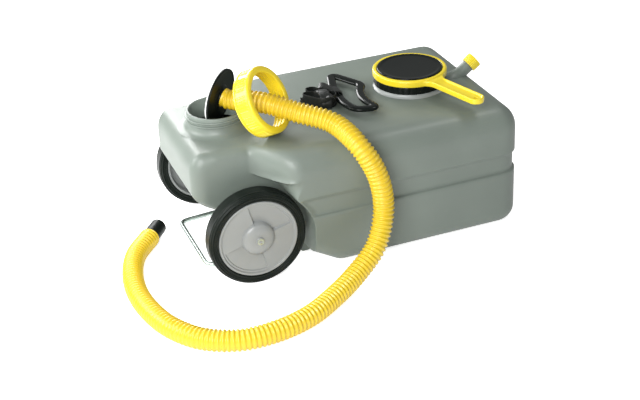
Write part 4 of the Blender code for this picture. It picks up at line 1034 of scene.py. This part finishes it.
make("grip_loop", [carried(placed(grip_line, GRIP_PLACE), oval, closed=True)],
     black_gloss, "grip", ["pull_grip"])

# %% [markdown]
# ## The pull strap
# The strap is one long band of webbing, folded into a hank on the tank's top, with a loop
# round the grip's long bar. Each ribbon below is a smooth line of knots in millimetres. A
# knot's last three numbers, or the ribbon's own where it has none, say where the band's
# width points, so a ribbon can stand on its edge, lie flat or fold over, and twist in
# between. The thin section is carried along, a little cupped.

# %% Ribbons
STRAP_PLACE = Matrix.Translation((-0.1130, -0.0060, TOP_Z)) @ Matrix.Rotation(math.radians(-20.1), 4, 'Z')
WEBBING_HALF_THICKNESS, CUP = 0.0007, 0.0006
UPRIGHT, LEVEL = (0, 0, 1), (0, 1, 0)


def ribbon(knots, width, faces=UPRIGHT):
    """line + a w + b n for each (a, b) of a flat section: w is the width's direction, square
    to the line, and n = ahead × w. Also gives each point's place on the band, in metres."""
    line = smooth_line([(*np.array(knot[:3]) / 1000, *(knot[3:] or faces)) for knot in knots], 0.0015)
    line, facing = line[:, :3], line[:, 3:]
    ahead = np.gradient(line, axis=0)
    ahead /= np.linalg.norm(ahead, axis=1, keepdims=True)
    facing = facing - ahead * (facing * ahead).sum(axis=1, keepdims=True)
    facing /= np.linalg.norm(facing, axis=1, keepdims=True)
    normal = np.cross(ahead, facing)
    across = np.sin(np.linspace(-np.pi / 2, np.pi / 2, 11))
    edge = WEBBING_HALF_THICKNESS * np.sqrt(1 - 0.7 * across ** 8)
    a = np.concatenate([across, across[::-1]]) * width / 2
    b = np.concatenate([edge, -edge[::-1]]) - CUP * (2 * a / width) ** 2
    points = line[:, None] + a[:, None] * facing[:, None] + b[:, None] * normal[:, None]
    travelled = np.append(0, np.cumsum(np.linalg.norm(np.diff(line, axis=0), axis=1)))
    lies = np.stack(np.broadcast_arrays(a, travelled[:, None]), axis=-1)
    ends = np.repeat(line[[0, -1], None], len(a), axis=1)
    points = np.concatenate([ends[:1], points, ends[1:]])
    lies = np.concatenate([lies[:1], lies, lies[-1:]])
    return sheet(placed(points, STRAP_PLACE), wrap_columns=True), lies.reshape(-1, 2)


def coil(centre, inner, outer, turns):
    """Knots of a spiral that stands on the top: r grows evenly from the inner to the outer."""
    angle = np.linspace(0, 2 * np.pi * turns, round(turns * 12) + 1)
    radius = np.linspace(inner, outer, len(angle))
    return [(centre[0] + r * math.cos(a), centre[1], centre[2] + r * math.sin(a))
            for r, a in zip(radius, angle)]


def round_the_bar(middle, radius):
    """Knots of the half circle from under the bar to over it, on the side away from the hank."""
    return [(middle[0] + radius * math.cos(a), middle[1], middle[2] + radius * math.sin(a))
            for a in np.linspace(-np.pi / 2, np.pi / 2, 9)]


# %% The hank
BAR, BAR_LEAN = (31.3, 18.0, 9.2), (0.27, -0.96, 0)
ribbons = [
    # outer loop, on its edge, along the near side
    ribbon([(20, 5, 11), (4, 7, 11), (-12, 7, 11.5), (-20, 3, 11.5), (-19, -3, 11), (-12, -8, 10.5),
            (2, -16.5, 10), (15, -18, 10), (27, -11, 10), (31, -1, 10), (27, 8, 10), (16, 9, 10)],
           0.0185),
    # tall lobe at the left, and the low end beside it
    ribbon([(4, 13, 12), (-4, 15, 14.5), (-12, 13, 15.5, 0.2, 0, 1), (-15.5, 8, 15.5, -0.1, 0, 1),
            (-12, 3, 15, -0.2, -0.3, 1), (-3, 0, 13), (6, -4, 11)], 0.0200),
    ribbon([(-6, 1, 5, 0, 0.5, 0.8), (-16, 0, 6.5, 0, 0.4, 0.9), (-25, 0, 7.5, 0, 0.3, 0.95)], 0.0120),
    # folds stacked under the flap
    ribbon([(8, 18, 5), (26, 18, 5.5), (29, 18, 8), (26, 18, 10.5), (9, 19, 10.5), (6, 19, 13),
            (9, 20, 15.5), (24, 20, 15.5)], 0.0200, LEVEL),
    # roll at the right, and a band over its top and down its front
    ribbon(coil((20, -7, 10.5), 2.5, 9.0, 2.4), 0.0190, (0.15, -0.98, 0.1)),
    ribbon([(4, 14, 19, 1, 0.2, 0), (8, 5, 22, 1, 0.2, 0.1), (12, -5, 21.5, 1, 0.2, 0.15),
            (15, -13, 17.5, 1, 0.2, 0.2), (16, -18.5, 10, 1, 0.15, 0.1), (15, -19.2, 3, 1, 0, 0)], 0.0160),
    # the flap, which comes from below, goes round the bar and ends in a fold at the left
    ribbon([(8, 19, 2.4), (22, 19, 1.6), *round_the_bar(BAR, 8.0), (25, 19, 18.2, 0.1, -1, 0),
            (17, 21.5, 21, 0, -1, 0), (10, 24, 23, -0.1, -1, 0), (5.5, 24.5, 22.2, -0.1, -1, 0),
            (4.5, 24.5, 19.8, -0.1, -1, 0), (8, 24, 18, 0, -1, 0), (18, 22, 17.5, 0, -1, 0)],
           0.0190, BAR_LEAN),
]
strap_shells, strap_lies = zip(*ribbons)
make("strap_hank", list(strap_shells), black_webbing, "tank", ["pull_strap"],
     smooth=50, lies=list(strap_lies))

# %% [markdown]
# ## Small hardware
# The axle, spacers, washers, seals, the strap's plate and its screws keep the shape that the
# solids have, and only get a finish.

# %% Finishes of the kept solids
KEPT = {"axle": zinc_steel, "axle_spacer_near": dark_plastic, "axle_spacer_far": dark_plastic,
        "wheel_washer_near": zinc_steel, "wheel_washer_far": zinc_steel, "lid_seal": tyre_rubber,
        "vent_seal": tyre_rubber, "strap_anchor": black_satin, "anchor_screw_1": zinc_steel,
        "anchor_screw_2": zinc_steel}
for node, finish in KEPT.items():
    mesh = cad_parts[node].data
    mesh.materials.clear()
    mesh.materials.append(finish)
print("kept solids:", len(KEPT))

# %% [markdown]
# ## Last words
# The floor gets its material.

# %% Floor finish
floor_finish = Finish("studio_floor", 0.75, specular=0.2)
floor_place = floor_finish.place()
floor_finish.set("Base Color", floor_finish.mix(floor_finish.noise(floor_place, 1.5), (0.93, 0.93, 0.93),
                                                (0.96, 0.96, 0.96)))
is_seen = floor_finish.node('ShaderNodeLightPath')
floor_finish.set("Emission Color", floor_finish.mix(is_seen, (0.3, 0.3, 0.3), (1.0, 1.0, 1.0)))
floor_finish.set("Emission Strength", 0.75)
floor_mesh.materials.append(floor_finish.material)
